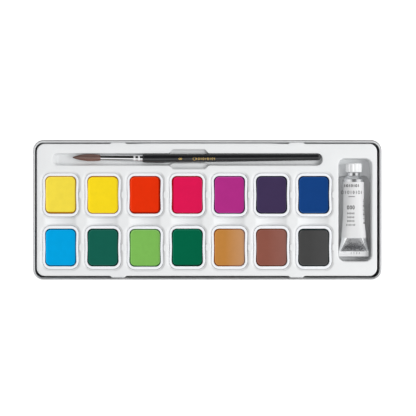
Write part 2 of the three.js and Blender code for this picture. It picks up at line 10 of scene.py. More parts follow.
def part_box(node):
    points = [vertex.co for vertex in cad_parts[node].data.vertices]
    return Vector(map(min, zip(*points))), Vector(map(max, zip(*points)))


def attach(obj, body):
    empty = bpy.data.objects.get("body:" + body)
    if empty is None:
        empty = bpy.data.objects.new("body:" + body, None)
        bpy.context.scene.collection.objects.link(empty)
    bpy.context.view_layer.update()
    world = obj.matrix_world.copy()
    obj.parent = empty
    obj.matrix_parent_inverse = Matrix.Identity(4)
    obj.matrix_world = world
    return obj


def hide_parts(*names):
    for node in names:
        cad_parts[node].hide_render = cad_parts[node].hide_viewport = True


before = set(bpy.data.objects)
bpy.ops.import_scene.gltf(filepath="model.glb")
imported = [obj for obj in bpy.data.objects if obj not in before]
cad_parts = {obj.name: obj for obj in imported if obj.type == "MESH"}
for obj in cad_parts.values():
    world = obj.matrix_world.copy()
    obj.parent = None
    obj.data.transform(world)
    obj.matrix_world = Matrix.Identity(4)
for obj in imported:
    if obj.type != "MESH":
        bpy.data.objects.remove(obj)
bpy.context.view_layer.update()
mm = 0.001  # shapes are worked out in millimetres and stored in metres
print("frame loaded:", len(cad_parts), "nodes")


def boxOf(node):
    low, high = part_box(node)
    return np.array(low) / mm, np.array(high) / mm


# Camera: straight above the open box, far enough away for nearly parallel lines
camera = {
    "imageSide": 416,
    "mmPerPixel": 0.873,
    "boxCentre": (207.35, 209.95),  # pixel at which the middle of the tin lies
    "distance": 1500,
    "sensor": 36,
    "clip": (0.05, 50),  # in metres
}


def makeCamera():
    rim = boxOf("tin_base")[1][2]
    halfSide = camera["imageSide"] / 2
    offX = (halfSide - camera["boxCentre"][0]) * camera["mmPerPixel"]
    offY = (camera["boxCentre"][1] - halfSide) * camera["mmPerPixel"]
    data = bpy.data.cameras.new("camera")
    data.sensor_width = camera["sensor"]
    data.lens = camera["sensor"] * camera["distance"] / (camera["imageSide"] * camera["mmPerPixel"])
    data.clip_start, data.clip_end = camera["clip"]
    holder = bpy.data.objects.new("camera", data)
    holder.location = (offX * mm, offY * mm, (rim + camera["distance"]) * mm)
    bpy.context.scene.collection.objects.link(holder)
    bpy.context.scene.camera = holder


makeCamera()
print("camera set")


# Shape helpers
def smoothStep(t):
    t = np.clip(t, 0, 1)
    return t * t * (3 - 2 * t)


# Smooth curve through (at, values): a cubic between neighbours, with the slope of the chord around each point
def smoothCurve(at, values, x):
    at, values = np.asarray(at, float), np.asarray(values, float)
    slope = np.gradient(values, at)
    i = np.clip(np.searchsorted(at, x) - 1, 0, len(at) - 2)
    width = at[i + 1] - at[i]
    t = np.clip((x - at[i]) / width, 0, 1)
    start = (1 + 2 * t) * (1 - t) ** 2 * values[i] + t * (1 - t) ** 2 * width * slope[i]
    end = t * t * (3 - 2 * t) * values[i + 1] - t * t * (1 - t) * width * slope[i + 1]
    return start + end


# Gentle unevenness: a sum of sine waves in directions drawn from the seed
def ripple(u, v, seed, wavelength, waves=7):
    draw = np.random.default_rng(seed)
    total = np.zeros(np.broadcast(u, v).shape)
    for _ in range(waves):
        angle, phase = draw.uniform(0, 2 * np.pi, 2)
        stretch = 2 * np.pi / (wavelength * draw.uniform(0.6, 1.6))
        total += np.sin(stretch * (u * np.cos(angle) + v * np.sin(angle)) + phase)
    return total / waves


# Quarter turn from angle 0 to 90 degrees as rows of (1 - cos, 1 - sin)
def quarter(steps):
    angle = np.linspace(0, np.pi / 2, steps + 1)
    return np.stack([1 - np.cos(angle), 1 - np.sin(angle)], -1)


# Quads between neighbouring rows of points. A closed row joins its last point to its first.
def gridFaces(rows, columns, closed=True):
    row, column = np.meshgrid(np.arange(rows - 1), np.arange(columns - (not closed)), indexing="ij")
    here, beside = row * columns + column, row * columns + (column + 1) % columns
    return np.stack([here, beside, beside + columns, here + columns], -1).reshape(-1, 4)


# Rounded rectangle about the origin, anticlockwise from its right side: straight runs placed by shares
# from -1 to 1, joined by quarter arcs. The second half is the first one turned by 180 degrees.
def roundedRing(halfX, halfY, radius, sideShares, endShares, arcSteps):
    straightX, straightY = halfX - radius, halfY - radius
    angle = np.linspace(0, np.pi / 2, arcSteps + 1)[1:-1]
    arc = radius * np.stack([np.cos(angle), np.sin(angle)], -1)
    side = np.stack([np.full(len(sideShares), halfX), straightY * sideShares], -1)
    end = np.stack([-straightX * endShares, np.full(len(endShares), halfY)], -1)
    turnedArc = np.stack([-arc[:, 1], arc[:, 0]], -1)
    half = np.concatenate([side, arc + [straightX, straightY], end, turnedArc + [-straightX, straightY]])
    return np.concatenate([half, -half])


# Places along a straight run as shares of its half length, close together within given bands (mm)
def runShares(half, coarse, bands=(), fine=0.5):
    marks = [np.linspace(-half, half, max(2, round(2 * half / coarse) + 1))]
    for low, high in bands:
        marks = [m[(m < low - fine / 2) | (m > high + fine / 2)] for m in marks]
        marks.append(np.linspace(low, high, round((high - low) / fine) + 1))
    return np.unique(np.round(np.concatenate(marks), 4)) / half


def lifted(ring, height):
    return np.column_stack([ring, np.full(len(ring), height)])


# Rows of rings as one surface, with a many-sided face over the first or last ring where it is flat there
def ringPatch(rings, capFirst=False, capLast=False):
    rows, columns = rings.shape[:2]
    faces = gridFaces(rows, columns).tolist()
    if capFirst:
        faces.append(list(range(columns))[::-1])
    if capLast:
        faces.append(list(range((rows - 1) * columns, rows * columns)))
    return rings.reshape(-1, 3), faces


# Profile rows (along, radius) turned about an axis that runs through centre along X or Y
def turnedRings(profile, centre, axis, steps, radiusChange=None):
    angle = np.arange(steps) / steps * 2 * np.pi
    along, radius = profile[:, :1], np.repeat(profile[:, 1:2], steps, 1)
    if radiusChange is not None:
        radius = radius + radiusChange(along, radius, angle)
    across, up = radius * np.cos(angle), radius * np.sin(angle)
    along = np.broadcast_to(along, across.shape)
    order = [along, across, up] if axis == "x" else [across, along, up]
    return np.stack(order, -1) + centre


def makeMesh(name, patches, closed=True, weld=0.002, sharp=40):
    points, faces, start = [], [], 0
    for patchPoints, patchFaces in patches:
        points.append(np.asarray(patchPoints) * mm)
        faces += [[start + i for i in face] for face in patchFaces]
        start += len(patchPoints)
    mesh = bpy.data.meshes.new(name)
    mesh.from_pydata(np.concatenate(points).tolist(), [], faces)
    shell = bmesh.new()
    shell.from_mesh(mesh)
    bmesh.ops.remove_doubles(shell, verts=shell.verts, dist=weld * mm)
    if closed:
        bmesh.ops.recalc_face_normals(shell, faces=shell.faces)
    shell.to_mesh(mesh)
    shell.free()
    mesh.shade_smooth()
    mesh.set_sharp_from_angle(angle=math.radians(sharp))
    return mesh


def addPiece(name, mesh, material, body, node=None):
    piece = bpy.data.objects.new(name, mesh)
    bpy.context.scene.collection.objects.link(piece)
    mesh.materials.append(material)
    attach(piece, body)
    if node:
        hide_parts(node)
    return piece


def pointsOf(mesh):
    flat = np.zeros(len(mesh.vertices) * 3)
    mesh.vertices.foreach_get("co", flat)
    return flat.reshape(-1, 3) / mm


def addValues(mesh, name, values):
    attribute = mesh.attributes.new(name, "FLOAT", "POINT")
    attribute.data.foreach_set("value", np.asarray(values, np.float32))


# Triangles of the region between closed loops, through extra points inside it. A triangle is kept where
# a ray from its middle crosses the loops an odd number of times, and heightOf(x, y) lifts each point.
def fillBetween(loops, extra, heightOf):
    points, edges, start = np.concatenate([*loops, extra]), [], 0
    for loop in loops:
        index = start + np.arange(len(loop))
        edges.append(np.stack([index, np.roll(index, -1)], -1))
        start += len(loop)
    edges = np.concatenate(edges)
    corners = [Vector(point) for point in points.tolist()]
    made = delaunay_2d_cdt(corners, edges.tolist(), [], 0, 1e-5, False)
    flat, triangles = np.array([tuple(v) for v in made[0]]), np.array(made[2])
    middle = flat[triangles].mean(1)[:, None]
    a, b = points[edges[:, 0]], points[edges[:, 1]]
    rise = np.where(a[:, 1] == b[:, 1], 1, b[:, 1] - a[:, 1])
    crossX = a[:, 0] + (b[:, 0] - a[:, 0]) * (middle[..., 1] - a[:, 1]) / rise
    crossed = ((a[:, 1] > middle[..., 1]) != (b[:, 1] > middle[..., 1])) & (middle[..., 0] < crossX)
    kept = triangles[crossed.sum(1) % 2 == 1]
    return lifted(flat, heightOf(*flat.T)), kept.tolist()


# Material helpers
def addNode(tree, kind, inputs=None, **settings):
    node = tree.nodes.new(kind)
    for name, value in settings.items():
        setattr(node, name, value)
    for name, value in (inputs or {}).items():
        if isinstance(value, bpy.types.NodeSocket):
            tree.links.new(value, node.inputs[name])
        else:
            node.inputs[name].default_value = value
    return node


def newGroup(name, inputs, outputs):
    tree = bpy.data.node_groups.new(name, "ShaderNodeTree")
    kinds = {"value": "NodeSocketFloat", "colour": "NodeSocketColor", "vector": "NodeSocketVector"}
    for label, (kind, default) in inputs.items():
        tree.interface.new_socket(label, in_out="INPUT", socket_type=kinds[kind]).default_value = default
    for label, kind in outputs.items():
        tree.interface.new_socket(label, in_out="OUTPUT", socket_type=kinds[kind])
    return tree, tree.nodes.new("NodeGroupInput").outputs, tree.nodes.new("NodeGroupOutput").inputs


def useGroup(tree, group, **values):
    return addNode(tree, "ShaderNodeGroup", values, node_tree=group).outputs


def newMaterial(name, **constants):
    material = bpy.data.materials.new(name)
    material.use_nodes = True
    shader = material.node_tree.nodes["Principled BSDF"]
    for socket, value in constants.items():
        shader.inputs[socket.replace("_", " ")].default_value = value
    return material, material.node_tree, shader


# Linear tone of a display colour given in levels from 0 to 255
def linear(red, green, blue):
    shares = np.array([red, green, blue]) / 255
    tone = np.where(shares <= 0.04045, shares / 12.92, ((shares + 0.055) / 1.055) ** 2.4)
    return (*tone.tolist(), 1)


def mixColours(tree, share, first, second):
    return addNode(tree, "ShaderNodeMix", {0: share, 6: first, 7: second}, data_type="RGBA").outputs[2]


def mixTones(tree, share, tones):
    return mixColours(tree, share, linear(*tones[0]), linear(*tones[1]))


# Links sockets to the inputs of a shader or of a group's end, with _ for a space in a name
def linkAll(tree, inputs, **sockets):
    for name, socket in sockets.items():
        tree.links.new(socket, inputs[name.replace("_", " ")])


def objectPlace(tree):
    return addNode(tree, "ShaderNodeTexCoord").outputs["Object"]


def placeAlong(tree, place, axis):
    return addNode(tree, "ShaderNodeSeparateXYZ", {"Vector": place}).outputs[axis]


def ownValue(tree, name):
    return addNode(tree, "ShaderNodeAttribute", attribute_name=name).outputs["Fac"]


def mathNode(tree, operation, *values):
    inputs = dict(enumerate(values))
    return addNode(tree, "ShaderNodeMath", inputs, operation=operation).outputs[0]


def rangeNode(tree, value, fromLow, fromHigh, low, high):
    inputs = {"Value": value, "From Min": fromLow, "From Max": fromHigh, "To Min": low, "To Max": high}
    return addNode(tree, "ShaderNodeMapRange", inputs).outputs[0]


def bumpNode(tree, height, strength, depth):
    inputs = {"Height": height, "Strength": strength, "Distance": depth * mm}
    return addNode(tree, "ShaderNodeBump", inputs).outputs[0]


def noiseNode(tree, place, scale, detail=2, roughness=0.5):
    inputs = {"Vector": place, "Scale": scale, "Detail": detail, "Roughness": roughness}
    return addNode(tree, "ShaderNodeTexNoise", inputs).outputs[0]


def cellNode(tree, place, scale):
    return addNode(tree, "ShaderNodeTexVoronoi", {"Vector": place, "Scale": scale}).outputs["Distance"]


# Numbers of the three shared looks. A noise is (waves per metre, detail, roughness), and a band is the part of a
# noise's range that is stretched from 0 to 1.
looks = {
    "skinTone": (45, 3, 0.6),
    "peelDetail": 3,
    "rubs": (900, 1),
    "rubBand": (0.63, 0.72),
    "rubStretch": (0.12, 1, 1),
    "rubTurn": (0, 0, 0.35),
    "rubDepth": 0.5,
    "rubRoughness": 0.12,
    "toneBand": (0.3, 0.7),
    "metalCloud": (70, 3, 0.6),
    "metalDetail": 2,
    "lineDepth": 0.06,
    "cakeCloud": (160, 4, 0.6),
    "cloudBand": (0.35, 0.75),
    "powder": (3200, 3, 0.6),
    "pits": 900,
    "pitBand": (0.05, 0.3),
    "pitDepth": 0.6,
    "cakeRoughness": (0.5, 0.62),
}


# Moulded skin: fine orange peel, broad soft tone and a few hairline rubs, in the plastics and the lacquer
def makeSkinGroup():
    inputs = {
        "Grain": ("value", 2500),  # waves per metre of the peel
        "Low": ("value", 0.35),
        "High": ("value", 0.5),
        "Rubs": ("value", 0.3),
    }
    outputs = {"Height": "value", "Roughness": "value", "Tone": "value"}
    tree, given, out = newGroup("mouldedSkin", inputs, outputs)
    place = objectPlace(tree)
    peel = noiseNode(tree, place, given["Grain"], looks["peelDetail"])
    tone = noiseNode(tree, place, *looks["skinTone"])
    stretched = {"Vector": place, "Scale": looks["rubStretch"], "Rotation": looks["rubTurn"]}
    long = addNode(tree, "ShaderNodeMapping", stretched).outputs[0]
    rubs = rangeNode(tree, noiseNode(tree, long, *looks["rubs"]), *looks["rubBand"], 0, 1)
    rubbed = mathNode(tree, "MULTIPLY", rubs, given["Rubs"])
    height = mathNode(tree, "MULTIPLY_ADD", rubbed, -looks["rubDepth"], peel)
    smooth = rangeNode(tree, tone, *looks["toneBand"], given["Low"], given["High"])
    roughness = mathNode(tree, "MULTIPLY_ADD", rubbed, looks["rubRoughness"], smooth)
    linkAll(tree, out, Height=height, Roughness=roughness, Tone=tone)
    return tree


# Rolled metal: lines along the rolling direction, soft dents and cloudy brightness, in tin, ferrule and tube
def makeMetalGroup():
    inputs = {
        "Line Scale": ("vector", (60, 2500, 2500)),
        "Low": ("value", 0.2),
        "High": ("value", 0.32),
        "Dent Scale": ("value", 180),
        "Dents": ("value", 0.5),
    }
    outputs = {"Height": "value", "Roughness": "value", "Tone": "value"}
    tree, given, out = newGroup("rolledMetal", inputs, outputs)
    place = objectPlace(tree)
    stretched = addNode(tree, "ShaderNodeVectorMath", {0: place, 1: given["Line Scale"]}, operation="MULTIPLY")
    lines = noiseNode(tree, stretched.outputs[0], 1, looks["metalDetail"])
    dents = noiseNode(tree, place, given["Dent Scale"], looks["metalDetail"])
    cloud = noiseNode(tree, place, *looks["metalCloud"])
    grooved = mathNode(tree, "MULTIPLY", lines, looks["lineDepth"])
    height = mathNode(tree, "MULTIPLY_ADD", dents, given["Dents"], grooved)
    roughness = rangeNode(tree, cloud, *looks["toneBand"], given["Low"], given["High"])
    tone = mathNode(tree, "MULTIPLY_ADD", lines, 0.5, mathNode(tree, "MULTIPLY", cloud, 0.5))
    linkAll(tree, out, Height=height, Roughness=roughness, Tone=tone)
    return tree


# Pressed cake of paint: powdery grain with pits, cloudy colour, a denser tone on the raised rim, painted edge shade
def makeCakeGroup():
    inputs = {
        "Colour": ("colour", (0.5, 0.5, 0.5, 1)),
        "Rim Colour": ("colour", (0.6, 0.6, 0.6, 1)),
        "Deep Colour": ("colour", (0.4, 0.4, 0.4, 1)),
        "Painted Shade Colour": ("colour", (0.2, 0.2, 0.2, 1)),
        "Cloud": ("value", 0.5),
        "Offset": ("value", 0),
    }
    tree, given, out = newGroup("pressedCake", inputs, {"Colour": "colour", "Height": "value", "Roughness": "value"})
    shift = addNode(tree, "ShaderNodeCombineXYZ", {"X": given["Offset"], "Z": given["Offset"]}).outputs[0]
    moved = addNode(tree, "ShaderNodeVectorMath", {0: objectPlace(tree), 1: shift}, operation="ADD").outputs[0]
    cloud = rangeNode(tree, noiseNode(tree, moved, *looks["cakeCloud"]), *looks["cloudBand"], 0, 1)
    deep = mathNode(tree, "MULTIPLY", cloud, given["Cloud"])
    clouded = mixColours(tree, deep, given["Colour"], given["Deep Colour"])
    rim = ownValue(tree, "rim")
    rimmed = mixColours(tree, rim, clouded, given["Rim Colour"])
    # Painted shade at the edge by the cup's wall, where the rim value is below 0
    paintedEdgeShaded = mixColours(tree, rangeNode(tree, rim, 0, -1, 0, 1), rimmed, given["Painted Shade Colour"])
    powder = noiseNode(tree, moved, *looks["powder"])
    pits = cellNode(tree, moved, looks["pits"])
    height = mathNode(tree, "ADD", powder, rangeNode(tree, pits, *looks["pitBand"], -looks["pitDepth"], 0))
    roughness = rangeNode(tree, cloud, 0, 1, *looks["cakeRoughness"])
    linkAll(tree, out, Colour=paintedEdgeShaded, Height=height, Roughness=roughness)
    return tree


skinGroup = makeSkinGroup()
metalGroup = makeMetalGroup()
cakeGroup = makeCakeGroup()


# The look of a group with Tone, Roughness and Height, in a shader. A second tone, painted shade on the tray and
# painted reflection on the ferrule, is laid over it by a value on the piece's points.
def wear(tree, shader, skin, tones, strength, depth, paintedDarkTone=None):
    colour = mixTones(tree, skin["Tone"], tones)
    if paintedDarkTone:
        colour = mixColours(tree, ownValue(tree, "paintedDark"), colour, linear(*paintedDarkTone))
    normal = bumpNode(tree, skin["Height"], strength, depth)
    linkAll(tree, shader.inputs, Base_Color=colour, Roughness=skin["Roughness"], Normal=normal)


def plasticMaterial(name, tones, low, high, grain, depth, rubs=0.3, paintedDarkTone=None):
    material, tree, shader = newMaterial(name)
    skin = useGroup(tree, skinGroup, Grain=grain, Low=low, High=high, Rubs=rubs)
    wear(tree, shader, skin, tones, 0.35, depth, paintedDarkTone)
    return material


def metalMaterial(name, tones, low, high, lines, dentScale, dents, depth, paintedDarkTone=None):
    material, tree, shader = newMaterial(name, Metallic=1)
    values = {"Line Scale": lines, "Dent Scale": dentScale, "Dents": dents}
    skin = useGroup(tree, metalGroup, Low=low, High=high, **values)
    wear(tree, shader, skin, tones, 0.5, depth, paintedDarkTone)
    return material


# Tray: white thermoformed sheet. Heights come from one function of x and y, and each wall is rings of one outline.
tray = {
    "sheet": 0.8,
    "edge": 1.1,
    "corner": 7,
    "lugSpacing": 156,
    "lugBase": 15,
    "lugTip": 10.3,
    "lugReach": 1.7,
    "lugInCad": 1.2,  # reach of the lugs in the plain part
    "lugRound": 0.4,
    "lugSkirt": 6.6,
    "nearer": {"left": 0.85, "back": 0.6, "front": 0.45},  # how far each side stands out beyond the plain outline
    "backBulge": 0.35,  # of the back between its lugs
    "sidesFrom": 30,  # from the middle out to where the long sides stand out
    "leftFrom": 120,
    "blend": 20,  # over which they come to stand out
    "drops": (2.4, 3.2, 4.2, 5.2, 6, 6.6, 7.2, 9),  # rows of the skirt below the web
    # The finish's last tone is painted shade, laid on by the tray's own values
    "finish": {"tones": ((236, 238, 239), (241, 242, 243)), "low": 0.36, "high": 0.46, "grain": 1500, "depth": 0.02,
               "paintedDarkTone": (196, 196, 197)},
}
pocket = {
    "sideGap": 1.88,
    "endGap": 1.95,
    "corner": 8.1,
    "flare": 1,  # room that the web's own points leave round a pocket
    "floorGap": 0.3,
    "ledge": ((1, 0), (0.7, 0.05), (0.4, 0.17), (0.1, 0.33), (-0.2, 0.43), (-0.6, 0.47), (-0.9, 0.49), (-1.08, 0.54),
              (-1.2, 0.7), (-1.24, 1.95), (-1.9, 2)),  # (offset, depth) of the step that the cup's lip lies beside
    "underLip": 0.15,  # how far the step goes on under the lip at a scoop, where the web lies lowWeb down
    "lowWeb": 2,
    "draft": 2.4,
    "fillet": 0.3,
    "bumpBase": 7.6,
    "bumpTip": 3.4,
    "bumpDepth": 1.28,
    "rowShift": 0.2,
    "nudge": 0.3,
    "paintedShades": {"right": 0.75, "front": 0.4, "back": 0.2},  # of the painted shade round a pan
    "paintedShadeWidth": 3,
    "scoopWidth": 27,
    "scoopDepth": 4,
    "scoopSoftness": 0.22,
    "scoopReach": 1.6,
}
groove = {
    "width": 10.4,
    "depth": 5.6,
    "offset": -1.5,  # from the brush's axis
    "backFlare": 0.25,  # share of the flare that the back edge has
    "leftGap": 17.6,  # before the tip of the hair
    "rightGap": 1.1,  # after the end of the handle
    "flare": 0.9,
    "fillet": 1.5,
    "draft": 0.25,
    "steps": (0.85, 0.8, 0.7, 0.6, 0.54, 0.48, 0.44, 0.4, 0.37, 0.34, 0.28),  # levels between flare and fillet
    "ramp": 3.6,
    "rampCorner": 2.6,
    "endCorner": 4.7,
    "hollow": (-34.2, 1.7),
    "hollowTurn": 4.6,
    "hollowExtra": 0.3,
    "leftExtra": 2.8,  # the floor is lower before the hair, from leftEnd on
    "leftEnd": 26,
    "leftRise": 22,
    "spacing": (4, 0.6, 2.5),  # of points along the sides: plain, at the hollow's ends, and within it
    "hollowLevels": (0, 0.2, 0.4, 0.52, 0.6, 0.66, 1),  # depth shares of the hollow's dish
    "frontDish": (3.3, 2.9, 2.3, 1.5, 0.4, -1.7, -1.9),  # its reach beyond the wall at those levels
    "backDish": (3.9, 3.4, 2.7, 1.9, 0.8, -0.4, -0.6),
}
recess = {
    "width": 29.2,
    "footGap": 3.6,  # before the tube's folded end
    "capGap": 4.3,
    "offset": 0.7,  # from the tube's axis
    "corner": 6,
    "flare": 1.2,
    "draft": 0.4,
    "fillet": 1,
    "shelf": 15.4,
    "well": 17.9,
    "step": 30.2,
    "stepSlope": 1.1,
    "stepCorner": 5.2,
    # numbers of the painted shade in the tube's recess and on the groove's ramp
    "paintedDark": {"depth": 3, "right": (2, 8), "front": (16, 12), "least": 0.1, "half": 30, "ramp": 0.25},
}
backRow = ["lemon_yellow", "golden_yellow", "vermilion", "carmine", "purple", "violet", "ultramarine"]
frontRow = ["cyan", "pine_green", "light_green", "emerald", "ochre", "brown", "black"]
pitchShare = 0.998  # the photo's columns stand a little closer together than the plain part's


# Box of a cup or a cake, moved with its column towards the middle and with its row away from the web. One pan
# lies a little to the front.
def panBox(node):
    low, high = boxOf(node)
    move = (pitchShare - 1) * (low + high) / 2 * [1, 0, 0]
    move[1] = pocket["rowShift"] * np.sign(low[1] + high[1])
    if node.endswith("light_green"):
        move[1] -= pocket["nudge"]
    return low + move, high + move


cupBoxes = {name: panBox("cup_" + name) for name in backRow + frontRow}
trayLow, trayHigh = boxOf("tray")
trayTop = trayHigh[2]
trayHalf = np.array([trayHigh[0], trayHigh[1] - tray["lugInCad"]])
webY = (cupBoxes["lemon_yellow"][0][1] + cupBoxes["cyan"][1][1]) / 2
webHalf = (cupBoxes["lemon_yellow"][0][1] - cupBoxes["cyan"][1][1]) / 2 - pocket["endGap"]
columnX = [cupBoxes[name][0][0] / 2 + cupBoxes[name][1][0] / 2 for name in backRow]


# Level of the web between recesses: flat, less one arc-shaped scoop per column across the web of the two rows.
# Its depth passes through a soft ramp, k log(1 + exp(depth / k)), which eases the scoop's edges.
def webHeight(x, y):
    half, depth, soft = pocket["scoopWidth"] / 2, pocket["scoopDepth"], pocket["scoopSoftness"]
    radius = (half ** 2 + depth ** 2) / (2 * depth)
    ends = smoothStep((webHalf + 2 * pocket["scoopReach"] - np.abs(y - webY)) / pocket["scoopReach"])
    drop = np.zeros(np.broadcast(x, y).shape)
    for centre in columnX:
        away = np.clip(np.abs(x - centre), 0, half * 1.4)
        drop += soft * np.log1p(np.exp((np.sqrt(radius ** 2 - away ** 2) - radius + depth) / soft))
    return trayTop - drop * ends


# Rows of a recess wall as (offset outwards, share of the height above the floor, extra height):
# a quarter-round flare at the web, a drafted wall and a quarter-round fillet at the floor
def wallRows(flare, draft, fillet, flareSteps=5, filletSteps=4):
    rows = [(flare * q, 1, -flare * p) for p, q in quarter(flareSteps).tolist()]
    rows += [(-draft - fillet * p, 0, fillet * q) for p, q in quarter(filletSteps).tolist()]
    return rows


def pocketRings(name):
    low, high = cupBoxes[name]
    centre = (low + high) / 2
    halfX = (high[0] - low[0]) / 2 + pocket["sideGap"]
    halfY = (high[1] - low[1]) / 2 + pocket["endGap"]
    floor = low[2] - pocket["floorGap"]
    bump = pocket["bumpBase"] / 2
    sideShares = runShares(halfY - pocket["corner"], 4, [(-bump - 0.4, bump + 0.4)], 0.55)
    endShares = runShares(halfX - pocket["corner"], 1.5)
    ledge = [(offset, 1, -drop) for offset, drop in pocket["ledge"]]
    fillet = [row for row in wallRows(0, pocket["draft"], pocket["fillet"]) if row[1] == 0]
    rings = []
    for offset, share, extra in ledge + fillet:
        ring = roundedRing(halfX + offset, halfY + offset, pocket["corner"] + offset, sideShares, endShares, 10)
        x, y = ring.T
        slope = (bump - np.abs(y)) / (bump - pocket["bumpTip"] / 2)
        x -= np.sign(x) * np.maximum(pocket["bumpDepth"] * smoothStep(slope) + min(offset, 0), 0)
        drop = trayTop - webHeight(x + centre[0], webY)
        atScoop = smoothStep((drop - pocket["lowWeb"]) / 0.8) * (np.abs(y + centre[1] - webY) < webHalf + 4)
        y -= np.sign(y) * atScoop * pocket["underLip"] * np.clip((-offset - 0.6) / 0.7, 0, 1)
        ring += centre[:2]
        web = webHeight(x, y)
        rings.append(lifted(ring, floor + share * (web - floor) + extra))
    return np.array(rings)


grooveLeft = boxOf("brush_hair")[0][0] - groove["leftGap"]
grooveRight = boxOf("brush_handle")[1][0] + groove["rightGap"]
grooveY = sum(boxOf("brush_handle"))[1] / 2 + groove["offset"]


# 1 along the finger hollow and 0 beyond it, with eased ends
def hollowShare(x):
    start, end = groove["hollow"]
    return smoothStep((x - start) / groove["hollowTurn"]) * smoothStep((end - x) / groove["hollowTurn"])


# Outline of the groove at a depth share: half of it from the left end to the right end, then its mirror image.
# The left end moves in with depth as a ramp, and the sides stand out along the finger hollow.
def grooveRing(offset, depthShare):
    left = grooveLeft + groove["ramp"] * depthShare - offset
    right = grooveRight + offset
    half = groove["width"] / 2 + offset
    leftCorner = groove["endCorner"] * (1 - depthShare) + groove["rampCorner"] * depthShare + offset
    rightCorner = groove["endCorner"] + offset
    leftArc = quarter(9) * leftCorner + [left, -half]
    rightArc = quarter(9)[::-1] * rightCorner * [-1, 1] + [right, -half]
    start, end = groove["hollow"]
    plain, fine, within = groove["spacing"]
    runX = np.concatenate([
        np.arange(grooveLeft + 12, start - 1, plain),
        np.arange(start - 1, start + 6, fine),
        np.arange(start + 6, end - 6, within),
        np.arange(end - 6, end + 1, fine),
        np.arange(end + 2, grooveRight - 6, plain),
    ])
    dish = [np.interp(depthShare, groove["hollowLevels"], groove[side]) for side in ("frontDish", "backDish")]
    runs = [np.stack([runX, -half - hollowShare(runX) * reach], -1) for reach in dish]
    endY = np.array([[0, 0], [0, 0.5]])
    leftEnd = [left, 0] + endY * [0, leftCorner - half]
    rightEnd = ([right, 0] + endY * [0, rightCorner - half])[::-1]
    front, back = [np.concatenate([leftEnd, leftArc, run, rightArc, rightEnd]) for run in runs]
    backHalf = groove["width"] / 2 + offset * (groove["backFlare"] if offset > 0 else 1)
    back = back[-2:0:-1] * [1, -backHalf / half]
    return np.concatenate([front, back]) + [0, grooveY]


def grooveFloor(x):
    lower = groove["leftExtra"] * smoothStep((grooveLeft + groove["leftEnd"] - x) / groove["leftRise"])
    return trayTop - groove["depth"] - groove["hollowExtra"] * hollowShare(x) - lower


def grooveRings():
    rings = []
    rows = wallRows(groove["flare"], groove["draft"], groove["fillet"])
    flared = sum(share for offset, share, extra in rows)
    steps = [(-groove["draft"] * (1 - share), share, 0) for share in groove["steps"]
             if groove["fillet"] < share * groove["depth"] < groove["depth"] - groove["flare"]]
    for offset, share, extra in rows[:flared] + steps + rows[flared:]:
        ring = grooveRing(offset, 1 - share - extra / groove["depth"])
        floor = grooveFloor(ring[:, 0])
        rings.append(lifted(ring, floor + share * (trayTop - floor) + extra))
    return np.array(rings)


# Floor of the tube's recess: a well with rounded back corners, below the shelf that the cap lies over
def recessFloor(x, y):
    halfX, corner, slope = recess["width"] / 2 - recess["draft"], recess["stepCorner"], recess["stepSlope"]
    acrossX = np.maximum(np.abs(x - recessX) - (halfX - corner), 0)
    acrossY = np.maximum(y - (recess["step"] - corner), 0)
    beyond = np.hypot(acrossX, acrossY) - corner
    beyond = np.where(y < recess["step"] - corner, -slope, beyond)
    step = smoothStep((beyond + slope) / slope)
    return trayTop - recess["well"] + (recess["well"] - recess["shelf"]) * step


tubeLow, tubeHigh = boxOf("tube_body")
capLow, capHigh = boxOf("tube_cap")
recessX = (tubeLow[0] + tubeHigh[0]) / 2 + recess["offset"]
recessY = (tubeLow[1] - recess["footGap"] + capHigh[1] + recess["capGap"]) / 2
recessHalfY = (capHigh[1] + recess["capGap"] - tubeLow[1] + recess["footGap"]) / 2


def recessRings():
    halfX, straight = recess["width"] / 2, recessHalfY - recess["corner"]
    stepAt = recess["step"] - recessY
    sideShares = runShares(straight, 6, [(stepAt - 7, stepAt + 2)], 0.6)
    sideShares = np.unique(np.concatenate([sideShares, -sideShares]))
    endShares = runShares(halfX - recess["corner"], 2)
    rings = []
    for offset, share, extra in wallRows(recess["flare"], recess["draft"], recess["fillet"]):
        ring = roundedRing(halfX + offset, recessHalfY + offset, recess["corner"] + offset, sideShares, endShares, 10)
        ring += [recessX, recessY]
        floor = recessFloor(ring[:, 0], ring[:, 1])
        rings.append(lifted(ring, floor + share * (trayTop - floor) + extra))
    return np.array(rings)


# 0 in the middle of the tin and 1 near its back, or with -y its front
def nearBack(y):
    return smoothStep((y - tray["sidesFrom"]) / tray["blend"])


